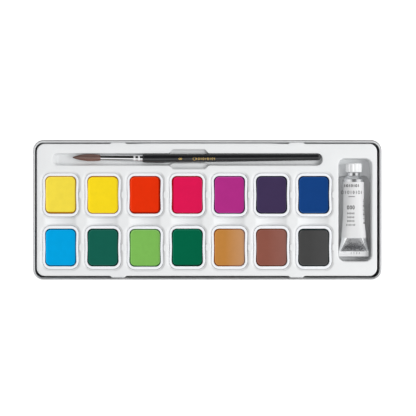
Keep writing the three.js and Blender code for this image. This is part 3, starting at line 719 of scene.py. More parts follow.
# Outer edge: a quarter round from the web, then the skirt, which stands out at the four snap lugs
def edgeRings():
    lugX, base, tip = tray["lugSpacing"] / 2, tray["lugBase"] / 2, tray["lugTip"] / 2
    skirt, nearer = tray["lugSkirt"], tray["nearer"]
    bands = [(side * lugX - base - 1, side * lugX + base + 1) for side in (-1, 1)]
    endShares = runShares(trayHalf[0] - tray["corner"], 6, bands, 0.8)
    sideShares = runShares(trayHalf[1] - tray["corner"], 6)
    bend = quarter(7)[:, ::-1] * tray["edge"]
    drops = np.array([*tray["drops"], trayTop - trayLow[2]])
    rings = []
    for inset, drop in np.concatenate([bend, np.stack([0 * drops, drops], -1)]).tolist():
        ring = roundedRing(*(trayHalf - inset), tray["corner"] - inset, sideShares, endShares, 10)
        x, y = ring.T
        bulge = tray["backBulge"] * smoothStep((lugX - base - np.abs(x)) / tray["blend"])
        side = np.where(y > 0, nearer["back"] + bulge, nearer["front"]) * nearBack(np.abs(y))
        level = np.interp(drop, [0, 0.01, skirt / 2, skirt], [0, 1, 1, 0])
        rounding = tray["lugRound"] * max(1 - drop / tray["lugRound"], 0) ** 2
        along = smoothStep((base - np.abs(np.abs(x) - lugX)) / (base - tip))
        onLong = np.abs(y) > trayHalf[1] - inset - 0.001
        lug = np.maximum(tray["lugReach"] + inset - rounding - side, 0) * along * level * onLong
        y += np.sign(y) * (side + lug)
        x -= nearer["left"] * smoothStep((-x - tray["leftFrom"]) / tray["blend"])
        rings.append(lifted(ring, trayTop - drop))
    return np.array(rings)


# Points of the scoops that lie clear of the pockets' rims
def scoopPoints():
    x, y = np.meshgrid(np.arange(-15.5, 16, 0.9), np.linspace(-1, 1, 7) * (webHalf + 3))
    low, high = cupBoxes[backRow[0]]
    halfPocket = (high[0] - low[0]) / 2 + pocket["sideGap"]
    beside = np.maximum(np.abs(x) - halfPocket + pocket["corner"], 0)
    beyond = np.maximum(webHalf + pocket["corner"] - np.abs(y), 0)
    clear = np.hypot(beside, beyond) > pocket["corner"] + pocket["flare"] + 0.25
    return np.concatenate([np.stack([x[clear] + centre, y[clear] + webY], -1) for centre in columnX])


def floorHeight(x, y):
    z = np.full(x.shape, cupBoxes["cyan"][0][2] - pocket["floorGap"])
    z = np.where(np.abs(y - grooveY) < groove["width"], grooveFloor(x), z)
    return np.where(x > recessX - recess["width"] / 2, recessFloor(x, y), z)


def floorPoints(recessRing):
    x, y = np.meshgrid(np.arange(-13.5, 13.6, 0.6), np.arange(recess["step"] - 7.5, recess["step"] + 1.6, 0.45))
    reach = recessRing[:, 0].max() - recessX - 0.3
    near = np.abs(x) < reach
    step = np.stack([x[near] + recessX, y[near]], -1)
    along, across = np.meshgrid(np.arange(groove["hollow"][0] - 1, groove["hollow"][1] + 2, 0.8), (-2, 0, 2))
    return np.concatenate([step, np.stack([along.ravel(), across.ravel() + grooveY], -1)])


# Share of painted shade, a greyer tone laid where shade falls: down in the tube's recess at its right, less at
# the front, and a little on the groove's ramp
def paintedRecessShade(points):
    x, y, z = points.T
    paintedDark = recess["paintedDark"]
    deep = smoothStep((trayTop - z - recess["shelf"]) / paintedDark["depth"]) * (x > recessX - recess["width"] / 2 - 2)
    right = smoothStep((x - recessX - paintedDark["right"][0]) / paintedDark["right"][1])
    front = smoothStep((recessY - recessHalfY + paintedDark["front"][0] - y) / paintedDark["front"][1])
    lower = 0.5 + 0.5 * np.clip((recess["step"] - y) / paintedDark["half"], 0, 1)
    inGroove = (np.abs(y - grooveY) < groove["width"] / 2) & (z < trayTop - 0.3) & (x < grooveLeft + 20)
    ramp = paintedDark["ramp"] * inGroove * smoothStep((grooveLeft + 14 - x) / 6)
    return np.maximum(deep * right * lower * (1 - (1 - paintedDark["least"]) * front), ramp)


# Painted shade in the gaps round the pans: most at the right of each, some at its front and back
def paintedGapShade(points):
    x, y = points[:, 0], points[:, 1]
    share, paintedShades, width = np.zeros(len(points)), pocket["paintedShades"], pocket["paintedShadeWidth"]
    reachX, reachY = pocket["sideGap"] + 0.1, pocket["endGap"] + 0.1
    for low, high in cupBoxes.values():
        right = paintedShades["right"] * smoothStep((x - high[0] + width) / width)
        front = paintedShades["front"] * smoothStep((low[1] + width - y) / width)
        back = paintedShades["back"] * smoothStep((y - high[1] + width) / width)
        inside = (x < high[0] + reachX) & (x > low[0] - reachX) & (y < high[1] + reachY) & (y > low[1] - reachY)
        share = np.where(inside, np.maximum(right, np.maximum(front, back)), share)
    return share * np.clip((webHeight(x, y) - points[:, 2]) / 0.3, 0, 1)


def makeTray():
    pockets = [pocketRings(name) for name in backRow + frontRow]
    well, edge = recessRings(), edgeRings()
    cavities = [*pockets, grooveRings(), well]
    web = fillBetween([rings[0][:, :2] for rings in (edge, *cavities)], scoopPoints(), webHeight)
    floors = fillBetween([rings[-1][:, :2] for rings in cavities], floorPoints(well[-1]), floorHeight)
    mesh = makeMesh("tray", [ringPatch(rings) for rings in (*cavities, edge)] + [web, floors], weld=0.01)
    points = pointsOf(mesh)
    # Painted shade: a greyer tone in the tube's recess, on the groove's ramp and in the gaps round the pans
    addValues(mesh, "paintedDark", np.maximum(paintedRecessShade(points), paintedGapShade(points)))
    material = plasticMaterial("trayPlastic", **tray["finish"])
    thick = addPiece("tray_skin", mesh, material, "tray", "tray").modifiers.new("sheet", "SOLIDIFY")
    thick.thickness = tray["sheet"] * mm
    thick.offset = -1


makeTray()
print("tray made")

# Tin: one sheet from the raised base panel out to the bead and back down inside. Rows are (inset, height).
tin = {
    "sheet": 0.4,
    "bead": 1.95,
    "backExtra": 0.5,  # of the bead's width at the back
    "corner": 9.2,
    "edge": 2,
    "band": 5,
    "panelRise": 0.6,
    "panelSlope": 1,
    "panelCorner": 4,
    "finish": {"tones": ((216, 217, 218), (232, 233, 234)), "low": 0.32, "high": 0.42, "lines": (60, 2500, 2500),
               "dentScale": 120, "dents": 0.5, "depth": 0.006},
}


def arcRows(inset, height, radius, start, end, steps):
    angle = np.radians(np.linspace(start, end, steps + 1))
    return np.stack([inset + radius * np.cos(angle), height + radius * np.sin(angle)], -1)


def makeTin():
    high = boxOf("tin_base")[1]
    bead, sheet, edge = tin["bead"] / 2, tin["sheet"], tin["edge"]
    wall = tin["bead"] - sheet
    meet = -math.degrees(math.acos((wall - bead) / bead))
    band = wall + edge + tin["band"]
    profile = np.concatenate([
        [[band + tin["panelSlope"], tin["panelRise"]], [band, 0]],
        arcRows(wall + edge, edge, edge, -90, -180, 6),
        arcRows(bead, high[2] - bead, bead, meet, -180, 8),
        arcRows(bead, high[2] - bead, bead, -180, -360, 18)[1:],
        arcRows(wall + edge, edge, edge - sheet, -180, -90, 6),
        [[band, sheet], [band + tin["panelSlope"], tin["panelRise"] + sheet]],
    ])
    sides, ends, rings = np.linspace(-1, 1, 9), np.linspace(-1, 1, 19), []
    for inset, height in profile.tolist():
        corner = max(tin["corner"] - inset, tin["panelCorner"])
        ring = roundedRing(high[0] - inset, high[1] - inset, corner, sides, ends, 14)
        ring[:, 1] -= tin["backExtra"] * np.clip(inset / bead - 1, 0, 1) * nearBack(ring[:, 1])
        rings.append(lifted(ring, height))
    mesh = makeMesh("tin", [ringPatch(np.array(rings), True, True)])
    addPiece("tin_shell", mesh, metalMaterial("tinplate", **tin["finish"]), "tin", "tin_base")


makeTin()
print("tin made")


# Cup: tapered outside, rounded lip, tapered inside with a rounded floor. The long sides are drawn in by
# waist cos^2 of the place along them.
cup = {
    "corner": 6.5,
    "lip": 0.75,
    "lipHeight": 1.5,
    "wall": 1.15,
    "floor": 1,
    "draft": 0.5,
    "lipRound": 0.35,
    "innerRound": 0.18,
    "fillet": 1,
    "waist": 0.3,
    "reach": 0.5,  # of the lip beyond the plain box
    "sideThin": 0.38,  # by which the long walls are thinner than the end walls
    "outsideRows": 13,  # rows of the profile before its inner side
    "finish": {"tones": ((245, 247, 251), (250, 252, 255)), "low": 0.22, "high": 0.34, "grain": 2200, "depth": 0.012,
               "rubs": 0.4},
}


def cupProfile(height):
    lip, draft, soft, inner = cup["lip"], cup["draft"], cup["lipRound"], cup["innerRound"]
    foot, inside = lip + draft, lip + cup["wall"]
    under = height - cup["lipHeight"]
    floorInset = inside + draft + cup["fillet"]
    return np.concatenate([
        [[foot + 0.4, 0], [foot + 0.1, 0.1], [foot, 0.4], [lip, under], [0.2, under], [0, under + 0.2]],
        arcRows(soft, height - soft, soft, 180, 90, 6),
        arcRows(inside - inner, height - inner, inner, 90, 0, 5),
        arcRows(floorInset, cup["floor"] + cup["fillet"], cup["fillet"], 180, 270, 5),
    ])


def cupRings(low, high):
    half = (high - low)[:2] / 2
    sides = runShares(half[1] - cup["corner"], 1.4)
    ends = runShares(half[0] - cup["corner"], 3)
    rings = []
    for number, (inset, height) in enumerate(cupProfile(high[2] - low[2]).tolist()):
        inside = number >= cup["outsideRows"]
        spare = np.array([cup["sideThin"], 0]) if inside else cup["reach"]
        corner = max(cup["corner"] - inset + cup["reach"] * (not inside), cup["wall"])
        ring = roundedRing(*(half - inset + spare), corner, sides, ends, 9)
        along = np.clip(np.abs(ring[:, 1]) / (half[1] - cup["corner"]), 0, 1)
        ring[:, 0] -= np.sign(ring[:, 0]) * cup["waist"] * np.cos(along * np.pi / 2) ** 2
        rings.append(lifted(ring + (low + high)[:2] / 2, low[2] + height))
    return np.array(rings)


def makeCups():
    material = plasticMaterial("cupPlastic", **cup["finish"])
    for name, (low, high) in cupBoxes.items():
        mesh = makeMesh("cup_" + name, [ringPatch(cupRings(low, high), True, True)])
        addPiece("cup_shell_" + name, mesh, material, "pan_" + name, "cup_" + name)


makeCups()
print("cups made")


# Cakes of paint: sides follow the cup, a rounded shoulder, a raised border and a dished middle, whose level is
# dish (1 - share^2) below the border's foot, with a ripple. Gaps are left, right, front and back (mm).
# The extra widths of the painted edge shade, as shares, go in the same order
paint = {
    "shoulder": 0.5,
    "border": 0.8,
    "slope": 0.5,
    "rise": 0.3,
    "dish": 0.3,
    "corner": 5,
    "taper": 0.086,
    "ripple": 0.07,
    "spread": 0.49,  # from the plain box out to the cup's wall
    "paintedEdgeShade": 0.65,  # width of the painted edge shade
    "paintedEdgeShadeShares": ((0.3, 0.46, 0.5), (0.68, 0.52, 0.3)),  # of the tone in the painted edge shade: cool and warm paints
    "warmFrom": 60,  # levels of red over blue
    "gapShare": 0.25,  # of the gaps below
    "dishShares": (0.97, 0.92, 0.82, 0.68, 0.52, 0.35, 0.18),
    "offset": 0.37,  # metres between the cakes in the pattern of their grain
    "rimPale": 0.1,  # share of white in the border's tone
    "deepShare": 0.95,
    "gloss": 0.04,
    # painted sheen: a pale tone laid on more and more towards the right end
    "paintedSheenTone": (235, 235, 238),
    "paintedSheenFrom": 9,  # from the left end, to the full share at the right
}
cakes = {
    "lemon_yellow": {"tone": (250, 226, 73), "gaps": (0.05, 0.35, 0.5, 0.1), "paintedEdgeShades": (0.2, 0.5, 1.2, 0.2)},
    "golden_yellow": {"tone": (253, 222, 32), "gaps": (0.1, 0.15, 0.05, 0.35), "paintedEdgeShades": (0.2, 0.1, 0, 0.7)},
    "vermilion": {"tone": (234, 50, 8), "gaps": (0.05, 0.5, 0.35, 0.05), "paintedEdgeShades": (0.1, 1.6, 1.3, 0.3)},
    "carmine": {"tone": (226, 24, 84), "gaps": (0.15, 0.15, 0.1, 0.5), "paintedEdgeShades": (1.6, 0.1, 0.5, 0.5)},
    "purple": {"tone": (179, 46, 135), "gaps": (0.1, 0.15, 0.4, 0.05), "paintedEdgeShades": (0.8, 0.5, 0, 0.1)},
    "violet": {"tone": (64, 51, 85), "gaps": (0.2, 0.2, 0.2, 0.2), "paintedEdgeShades": (0.6, 0.4, 0.3, 0.6)},
    "ultramarine": {"tone": (20, 65, 130), "gaps": (0.15, 0.2, 0.3, 0.15), "paintedEdgeShades": (0.3, 0.6, 0, 0.6)},
    "cyan": {"tone": (0, 167, 231), "gaps": (0.05, 0.15, 0.05, 0.3), "paintedEdgeShades": (0.2, 0.3, 0.3, 0.5)},
    "pine_green": {"tone": (20, 96, 80), "gaps": (0.3, 0.2, 0.2, 0.3), "paintedEdgeShades": (0.6, 0.6, 0.5, 0.6)},
    "light_green": {"tone": (127, 189, 89), "gaps": (0.1, 0.3, 0.1, 0.4), "paintedEdgeShades": (0.3, -0.3, 0.8, -0.2)},
    "emerald": {"tone": (0, 101, 69), "gaps": (0.25, 0.2, 0.15, 0.2), "paintedEdgeShades": (0.4, 0.4, 1.1, 0.1)},
    "ochre": {"tone": (194, 132, 63), "paintedSheen": 0.12, "gaps": (0.15, 0.35, 0.1, 0.3), "paintedEdgeShades": (0.8, 0.7, 0.8, 0.6)},
    "brown": {"tone": (142, 85, 72), "paintedSheen": 0.04, "gaps": (0.1, 0.4, 0.3, 0.15), "paintedEdgeShades": (0.3, 0.8, 0.6, 0.5)},
    "black": {"tone": (70, 70, 70), "paintedSheen": 0.02, "gaps": (0.2, 0.2, 0.15, 0.3), "paintedEdgeShades": (1, 0.9, 0.3, 1.2)},
}


def cakeRows(height):
    shoulder = height - paint["shoulder"]
    rim = arcRows(paint["shoulder"], shoulder, paint["shoulder"], 180, 90, 6)
    borderEnd = paint["shoulder"] + paint["border"]
    t = np.linspace(0, 1, 6)
    slope = np.stack([borderEnd + paint["slope"] * t, height - paint["rise"] * smoothStep(t)], -1)
    side = [[paint["taper"] * shoulder, 0], [paint["taper"] * shoulder / 2, shoulder / 2]]
    edge = [[paint["paintedEdgeShade"] - 0.01, height], [paint["paintedEdgeShade"] + 0.15, height]]
    return np.concatenate([side, rim, edge, slope])


def cakeRings(name, seed):
    low, high = panBox("paint_" + name)
    left, right, front, back = np.array(cakes[name]["gaps"]) * paint["gapShare"]
    half = (high - low)[:2] / 2 + paint["spread"] - [(left + right) / 2 - cup["sideThin"], (front + back) / 2]
    centre = (high + low)[:2] / 2 + [(left - right) / 2, (front - back) / 2]
    sides, ends = runShares(half[1] - paint["corner"], 1.6), runShares(half[0] - paint["corner"], 1.6)
    # Border values: -1 on the painted edge shade, 1 on the raised rim and 0 elsewhere
    extra = np.array(cakes[name]["paintedEdgeShades"])[:, None]
    rings, border = [], []
    for inset, level in cakeRows(high[2] - low[2]).tolist():
        ring = roundedRing(*(half - inset), max(paint["corner"] - inset, 1.5), sides, ends, 8)
        rings.append(lifted(ring, low[2] + level))
        raised = level > high[2] - low[2] - paint["rise"] * 0.6
        reach = np.stack([-ring[:, 0] - half[0], ring[:, 0] - half[0], -ring[:, 1] - half[1], ring[:, 1] - half[1]])
        width = paint["paintedEdgeShade"] * (1 + np.max(extra * smoothStep((reach + 3) / 1.5), 0))
        border.append(np.where(inset < width, -1, float(raised)))
    foot = rings[-1]
    for share in paint["dishShares"]:
        rings.append(lifted(foot[:, :2] * share, foot[:, 2] - paint["dish"] * (1 - share ** 2)))
        border.append(np.zeros(len(foot)))
    rings = np.array(rings)
    inner = (np.arange(len(rings)) >= len(rings) - len(paint["dishShares"]))[:, None]
    rings[..., 2] += inner * paint["ripple"] * ripple(rings[..., 0], rings[..., 1], seed, 9)
    rings[..., :2] += centre
    return rings, np.concatenate(border)


def cakeMaterial(name, number):
    material, tree, shader = newMaterial("cake_" + name, Specular_IOR_Level=paint["gloss"])
    tone = np.array(cakes[name]["tone"])
    rimTone, deepTone = tone + (255 - tone) * paint["rimPale"], tone * paint["deepShare"]
    # Tone of the painted edge shade
    paintedDarkEdgeTone = tone * paint["paintedEdgeShadeShares"][int(tone[0] > tone[2] + paint["warmFrom"])]
    values = {"Rim Colour": linear(*rimTone), "Deep Colour": linear(*deepTone), "Painted Shade Colour": linear(*paintedDarkEdgeTone)}
    cake = useGroup(tree, cakeGroup, Colour=linear(*tone), Offset=number * paint["offset"], **values)
    # Painted sheen: a pale tone that grows from near the left end to the right end
    low, high = panBox("paint_" + name)
    paintedSheenSpan = (low[0] + paint["paintedSheenFrom"]) * mm, high[0] * mm
    paintedSheen = rangeNode(tree, placeAlong(tree, objectPlace(tree), "X"), *paintedSheenSpan, 0, cakes[name].get("paintedSheen", 0))
    colour = mixColours(tree, paintedSheen, cake["Colour"], linear(*paint["paintedSheenTone"]))
    normal = bumpNode(tree, cake["Height"], 0.5, 0.02)
    linkAll(tree, shader.inputs, Base_Color=colour, Roughness=cake["Roughness"], Normal=normal)
    return material


def makeCakes():
    for number, name in enumerate(cakes):
        rings, border = cakeRings(name, number + 1)
        mesh = makeMesh("cake_" + name, [ringPatch(rings, True, True)], weld=0)
        addValues(mesh, "rim", border)
        addPiece("cake_" + name, mesh, cakeMaterial(name, number), "pan_" + name, "paint_" + name)


makeCakes()
print("cakes made")


# Brush: everything is turned about an axis along X, with places measured from the ferrule's mouth
brush = {
    "mouthRadius": 2.35,
    "endRadius": 3.1,
    "wall": 0.35,
    "crimps": (29.8, 33.7),
    "crimpDepth": 0.3,
    "crimpWidth": 1.7,
    "crimped": (28, 36.5),  # where the rows of the profile lie close together
    "lipRound": 0.12,
    # the nickel's last tone is the dark of its painted reflection stripes
    "nickel": {"tones": ((226, 226, 227), (240, 240, 241)), "low": 0.02, "high": 0.045, "lines": (300, 4000, 4000),
               "dentScale": 200, "dents": 0.4, "depth": 0.003, "paintedDarkTone": (24, 24, 26)},
    "paintedReflectionStripes": ((0.6, 0.08), (-0.56, 0.1)),  # of its painted dark reflections: (middle, half width) as shares of the radius
    "lacquer": ((20, 20, 22), (34, 34, 37)),
    "lacquerSkin": {"Grain": 700, "Low": 0.16, "High": 0.26, "Rubs": 0.6},
    "tenonRadii": (1.8, 2.1, 2.3),
    "tenonMiddle": -13,  # from the ferrule's end
    "startRows": (0.15, 0.4, 0.9, 1.6),
    "gold": {"tones": ((222, 180, 92), (248, 216, 140)), "low": 0.3, "high": 0.42, "lines": (300, 300, 300),
             "dentScale": 900, "dents": 0.3, "depth": 0.01},
    "handleDiameter": 8.2,
    "shareOfLength": (0, 0.006, 0.012, 0.045, 0.1, 0.16, 0.24, 0.43, 0.66, 0.88),
    "shareOfDiameter": (0.85, 0.9, 0.925, 0.965, 1, 0.94, 0.915, 0.878, 0.793, 0.72),
    "endRound": 2.9,
    "bend": ((-118, 0.25), (-93.4, -0.1), (-56.5, -0.5), (-44, -0.5), (99.4, 0.5)),  # (x, y) of its rest
}
hair = {
    "strands": 1600,
    "strandRadius": 0.085,
    "rows": 9,  # of points along a strand
    "sides": 3,
    "wave": 0.07,
    "length": 24.7,
    "stagger": 1.3,
    "coreLength": 22.5,
    "coreShare": 0.86,  # of the spread
    "at": (-0.6, 0.6, 3, 7, 10.5, 14, 17.8, 21.5, 24.7),
    "spread": (2.1, 2.6, 2.8, 2.98, 3, 2.75, 2.15, 1.3, 0.25),
    "brown": (126, 92, 82),
    # the next tone is a painted highlight
    "light": (176, 152, 146),
    "red": (152, 112, 98),
    "dark": (66, 42, 36),
    "paintedHighlightAt": (-3, -2.2, -1.4, -0.6, 0.3, 1.2, 2, 3),  # across the belly, of the painted highlight streaks
    "paintedHighlightStreaks": (0.35, 0.6, 0.0, 0.75, 0.4, 0.0, 0.35, 0.3),
    "toneShares": (0.6, 0.7),  # of each strand's own draw and of the painted highlight streaks
    "paintedHighlightShares": (0.6, 0.5),  # of a painted highlight streak on top, plain and by the draw
    "redShare": 0.7,
    "redWidth": 1.6,
}
ferruleLow, ferruleHigh = boxOf("brush_ferrule")
handleLow, handleHigh = boxOf("brush_handle")
brushAxis = (ferruleLow + ferruleHigh) / 2
mouthX, ferruleEndX = ferruleLow[0], ferruleHigh[0]
mouth, ferruleEnd = np.array([mouthX, *brushAxis[1:]]), np.array([ferruleEndX, *brushAxis[1:]])


# How far the brush lies off its straight axis at x
def brushBend(x):
    return np.interp(x, *np.transpose(brush["bend"]))


def turnedPiece(name, profile, origin, axis, steps, material, body, node, radiusChange=None):
    rings = turnedRings(profile, origin, axis, steps, radiusChange)
    if body == "brush":
        rings[..., 1] += brushBend(rings[..., 0])
    mesh = makeMesh(name, [ringPatch(rings)])
    return addPiece(name, mesh, material, body, node)


# Ferrule radius: a straight taper less a cos^2 groove at each crimp
def ferruleRadius(u):
    length = ferruleEndX - mouthX
    radius = brush["mouthRadius"] + (brush["endRadius"] - brush["mouthRadius"]) * u / length
    for middle in brush["crimps"]:
        near = np.clip(np.abs(u - middle) / brush["crimpWidth"] * 2, 0, 1)
        radius = radius - brush["crimpDepth"] * np.cos(near * np.pi / 2) ** 2
    return radius


def makeFerrule():
    length, wall, soft = ferruleEndX - mouthX, brush["wall"], brush["lipRound"]
    u = np.unique(np.concatenate([np.linspace(soft, length - soft, 40), np.linspace(*brush["crimped"], 60)]))
    outside = np.stack([u, ferruleRadius(u)], -1)
    lipStart = [[0, brush["mouthRadius"] - wall + 0.1], [0, brush["mouthRadius"] - soft]]
    lipEnd = [[length, brush["endRadius"] - soft], [length, brush["endRadius"] - wall + 0.05]]
    inside = np.stack([u, ferruleRadius(u) - wall], -1)[::-1]
    profile = np.concatenate([lipStart, outside, lipEnd, inside, lipStart[:1]])
    material = metalMaterial("nickel", **brush["nickel"])
    piece = turnedPiece("ferrule", profile, mouth, "x", 72, material, "brush", "brush_ferrule")
    # Painted reflection: dark stripes along the upper side before the crimps, for the mirrored dark groove walls
    x, y, z = pointsOf(piece.data).T
    side = (y - brushAxis[1] - brushBend(x)) / ferruleRadius(x - mouthX) * (z > brushAxis[2])
    straight = smoothStep(brush["crimps"][0] - 1 - x + mouthX)
    paintedReflectionStripes = [smoothStep(1.5 - np.abs(side - middle) / half) for middle, half in brush["paintedReflectionStripes"]]
    addValues(piece.data, "paintedDark", straight * np.maximum(*paintedReflectionStripes))


# Handle radius: a smooth curve through the measured diameters, with a dome of an ellipse at the end
def handleRadius(u):
    length = handleHigh[0] - ferruleEndX
    half = np.array(brush["shareOfDiameter"]) * brush["handleDiameter"] / 2
    at = np.append(np.array(brush["shareOfLength"]) * length, length)
    radius = smoothCurve(at, np.append(half, brush["endRound"] - 0.05), u)
    beyond = np.clip((u - length + brush["endRound"]) / brush["endRound"], 0, 1)
    return radius * np.sqrt(np.maximum(1 - beyond ** 2, 0))


def makeHandle():
    length = handleHigh[0] - ferruleEndX
    dome = length - brush["endRound"] * (1 - np.sin(np.linspace(0, np.pi / 2, 14)))
    u = np.unique(np.concatenate([brush["startRows"], np.linspace(2.5, length - brush["endRound"], 90), dome]))
    radius = handleRadius(u)
    first, middle, last = brush["tenonRadii"]
    tenonX = handleLow[0] - ferruleEndX
    tenon = [[tenonX, 0.001], [tenonX, first], [brush["tenonMiddle"], middle], [0.1, last], [0.1, radius[0] - 0.5]]
    profile = np.concatenate([tenon, np.stack([u, np.maximum(radius, 0.001)], -1)])
    material, tree, shader = newMaterial("blackLacquer", Coat_Weight=0.42, Coat_Roughness=0.06)
    wear(tree, shader, useGroup(tree, skinGroup, **brush["lacquerSkin"]), brush["lacquer"], 0.3, 0.01)
    turnedPiece("handle", profile, ferruleEnd, "x", 64, material, "brush", "brush_handle")


# Hair: strands in a sunflower pattern that follow the belly and meet in a point, each bent by a small wave,
# round a dark core that closes the gaps between them
def hairMaterial():
    material, tree, shader = newMaterial("hair", Roughness=0.42, Specular_IOR_Level=0.4)
    base = mixTones(tree, ownValue(tree, "tone"), (hair["dark"], hair["brown"]))
    warm = mixColours(tree, ownValue(tree, "front"), base, linear(*hair["red"]))
    # The middle value lays on the light tone as a painted highlight
    linkAll(tree, shader.inputs, Base_Color=mixColours(tree, ownValue(tree, "middle"), warm, linear(*hair["light"])))
    return material


def makeHair():
    draw = np.random.default_rng(4)
    count, rows, sides, root = hair["strands"], hair["rows"], hair["sides"], hair["at"][0]
    share = np.sqrt((np.arange(count) + 0.5) / count)[:, None]
    angle = (np.arange(count) * np.pi * (3 - np.sqrt(5)))[:, None]
    tips = hair["length"] - hair["stagger"] * share * draw.uniform(0.5, 1, (count, 1))
    along = np.linspace(0, 1, rows) * (tips - root) + root
    wave = hair["wave"] * np.sin(along * draw.uniform(0.25, 0.6, (count, 1)) + draw.uniform(0, 6.28, (count, 1)))
    radial = smoothCurve(hair["at"], hair["spread"], along) * share + wave * share
    centre = np.stack([-along, radial * np.cos(angle), radial * np.sin(angle)], -1)
    width = hair["strandRadius"] * np.interp(np.linspace(0, 1, rows), [0, 0.5, 0.8, 1], [0.8, 1, 0.7, 0.15])
    corner = np.arange(sides) * 2 * np.pi / sides
    offset = np.stack([0 * corner, np.cos(corner), np.sin(corner)], -1)
    points = centre[:, :, None] + offset * width[None, :, None, None] + mouth
    side, above = (points - brushAxis)[..., 1:].reshape(-1, 2).T
    points[..., 1] += brushBend(points[..., 0])
    start = np.arange(count)[:, None] * rows * sides
    caps = start + np.arange(rows * sides)[:-sides - 1:-1]
    faces = (gridFaces(rows, sides)[None] + start[..., None]).reshape(-1, 4).tolist() + caps.tolist()
    mesh = makeMesh("hair", [(points.reshape(-1, 3), faces)], closed=False, weld=0)
    each = np.repeat(draw.uniform(0, 1, count), rows * sides)
    # Painted highlight: bands across the belly lighten and darken the strands, and lay the light tone on the top
    paintedHighlight = np.interp(side, hair["paintedHighlightAt"], hair["paintedHighlightStreaks"])
    (own, shared), (plain, drawn) = hair["toneShares"], hair["paintedHighlightShares"]
    addValues(mesh, "tone", np.clip(each * own + paintedHighlight * shared, 0, 1))
    addValues(mesh, "middle", paintedHighlight * np.clip(above / 2, 0, 1) * (plain + drawn * each))
    addValues(mesh, "front", smoothStep(-side / hair["redWidth"]) * hair["redShare"])
    material = hairMaterial()
    addPiece("hair_strands", mesh, material, "brush", "brush_hair")
    u = np.linspace(-0.9, hair["coreLength"], 30)
    radius = hair["coreShare"] * np.maximum(smoothCurve(hair["at"], hair["spread"], u), 0.1)
    profile = np.concatenate([[[0.9, 0.001]], np.stack([-u, radius], -1), [[-hair["coreLength"] - 0.4, 0.001]]])
    core = turnedPiece("hair_core", profile, mouth, "x", 24, material, "brush", None)
    addValues(core.data, "tone", np.full(len(core.data.vertices), 0.2))


makeFerrule()
makeHandle()
makeHair()
print("brush made")


# Printed marks: strokes along paths, laid just over the surface that heightOf gives
def stroke(path, width, closed):
    path = np.asarray(path, float)
    ahead = (np.roll(path, -1, 0) - np.roll(path, 1, 0)) if closed else np.gradient(path, axis=0)
    normal = np.stack([-ahead[:, 1], ahead[:, 0]], -1) / np.maximum(np.hypot(*ahead.T), 1e-9)[:, None]
    rows = [path + normal * width * share for share in np.linspace(-0.5, 0.5, 5)]
    return np.concatenate(rows), gridFaces(5, len(path), closed)


def bar(x, y, length, width, upright=False):
    t = np.linspace(-0.5, 0.5, 9) * length
    return stroke(np.stack([x + 0 * t, y + t] if upright else [x + t, y + 0 * t], -1), width, False)


# A ring has power 1 and a diamond about 2: x = halfX cos^power, y = halfY sin^power
def loop(x, y, halfX, halfY, width, power=1):
    angle = (np.arange(24) + 0.5) / 24 * 2 * np.pi
    turn = np.stack([np.cos(angle), np.sin(angle)], -1)
    return stroke([x, y] + [halfX, halfY] * np.sign(turn) * np.abs(turn) ** power, width, True)


# A row along its run of (start, end, count): rings, and upright bars at every even or odd place. The rings turn
# towards diamonds as their power, 1 + power i mod 2, grows.
def markRow(row, x, y):
    made = []
    for i, place in enumerate(np.linspace(*row["run"])):
        if i % 2 == row.get("barsAt"):
            made.append(bar(x + place, y + row["y"], *row["bar"], True))
        else:
            made.append(loop(x + place, y + row["y"], *row["ring"], 1 + row.get("power", 0) * i % 2))
    return made


def addMarks(name, strokes, heightOf, material, body):
    patches = [(lifted(flat, heightOf(*flat.T)), faces.tolist()) for flat, faces in strokes]
    addPiece(name, makeMesh(name, patches, closed=False, weld=0), material, body)


marks = {
    "proud": 0.03,
    "handle": {"run": (-11.3, 6.4, 10), "y": -1.05, "ring": (0.62, 0.9, 0.34), "bar": (1.8, 0.4), "barsAt": 1},
    "firstRing": (1.2, 1.3, 0.34),
    "smallRings": ((-24.3, 0.6), (-22.9, 0.6)),  # (x, radius)
    "smallWidth": 0.42,
    "labelX": -3.1,  # middle of the label's marks, from the tube's axis
    "line": (0.7, 11.6, 5.4, 0.5),  # (x, y, length, width)
    "upper": {"run": (-5, 6.6, 7), "y": 21.2, "ring": (0.62, 1, 0.55), "bar": (2.3, 0.62), "barsAt": 0},
    "lower": {"run": (-6.9, 9.4, 8), "y": 15.4, "ring": (0.85, 1.4, 0.38), "bar": (2.7, 0.42), "barsAt": 1,
              "power": 0.4},
    "zeros": {"run": (-2.3, 2.3, 3), "y": 2.2, "ring": (0.65, 1.5, 0.58)},
    "rows": ((-3, 5.4), (-6.4, 5.2), (-9.7, 5.4), (-13.1, 6.8)),  # (y, width) of the rows of small bars
    "rowBars": ((1.7, 0.45), (1.1, 0.45), (1.5, 0.45)),  # (length, width) by turns
    "edge": (-11.4, 9.2, 12),
    "edgeShare": 0.9,  # of the half width at which the marks at the label's edge stand
    "edgeBars": ((1.5, 1.1), (0.8, 0.5), (1.1, 0.8), (0.7, 0.5)),
    "stamps": (-2.2, 5, 4),
    "stampY": 3.6,
    "stampBar": (1.9, 0.4),
    "ink": {"tones": ((28, 28, 30), (48, 48, 50)), "low": 0.45, "high": 0.6, "grain": 2500, "depth": 0.01},
    "stamp": {"tones": ((150, 151, 153), (170, 171, 173)), "low": 0.3, "high": 0.4, "lines": (900, 900, 900),
              "dentScale": 900, "dents": 0.4, "depth": 0.02},
}


def handleTop(x, y):
    radius = handleRadius(x - ferruleEndX) + marks["proud"]
    return brushAxis[2] + np.sqrt(np.maximum(radius ** 2 - (y - brushAxis[1] - brushBend(x)) ** 2, 0))


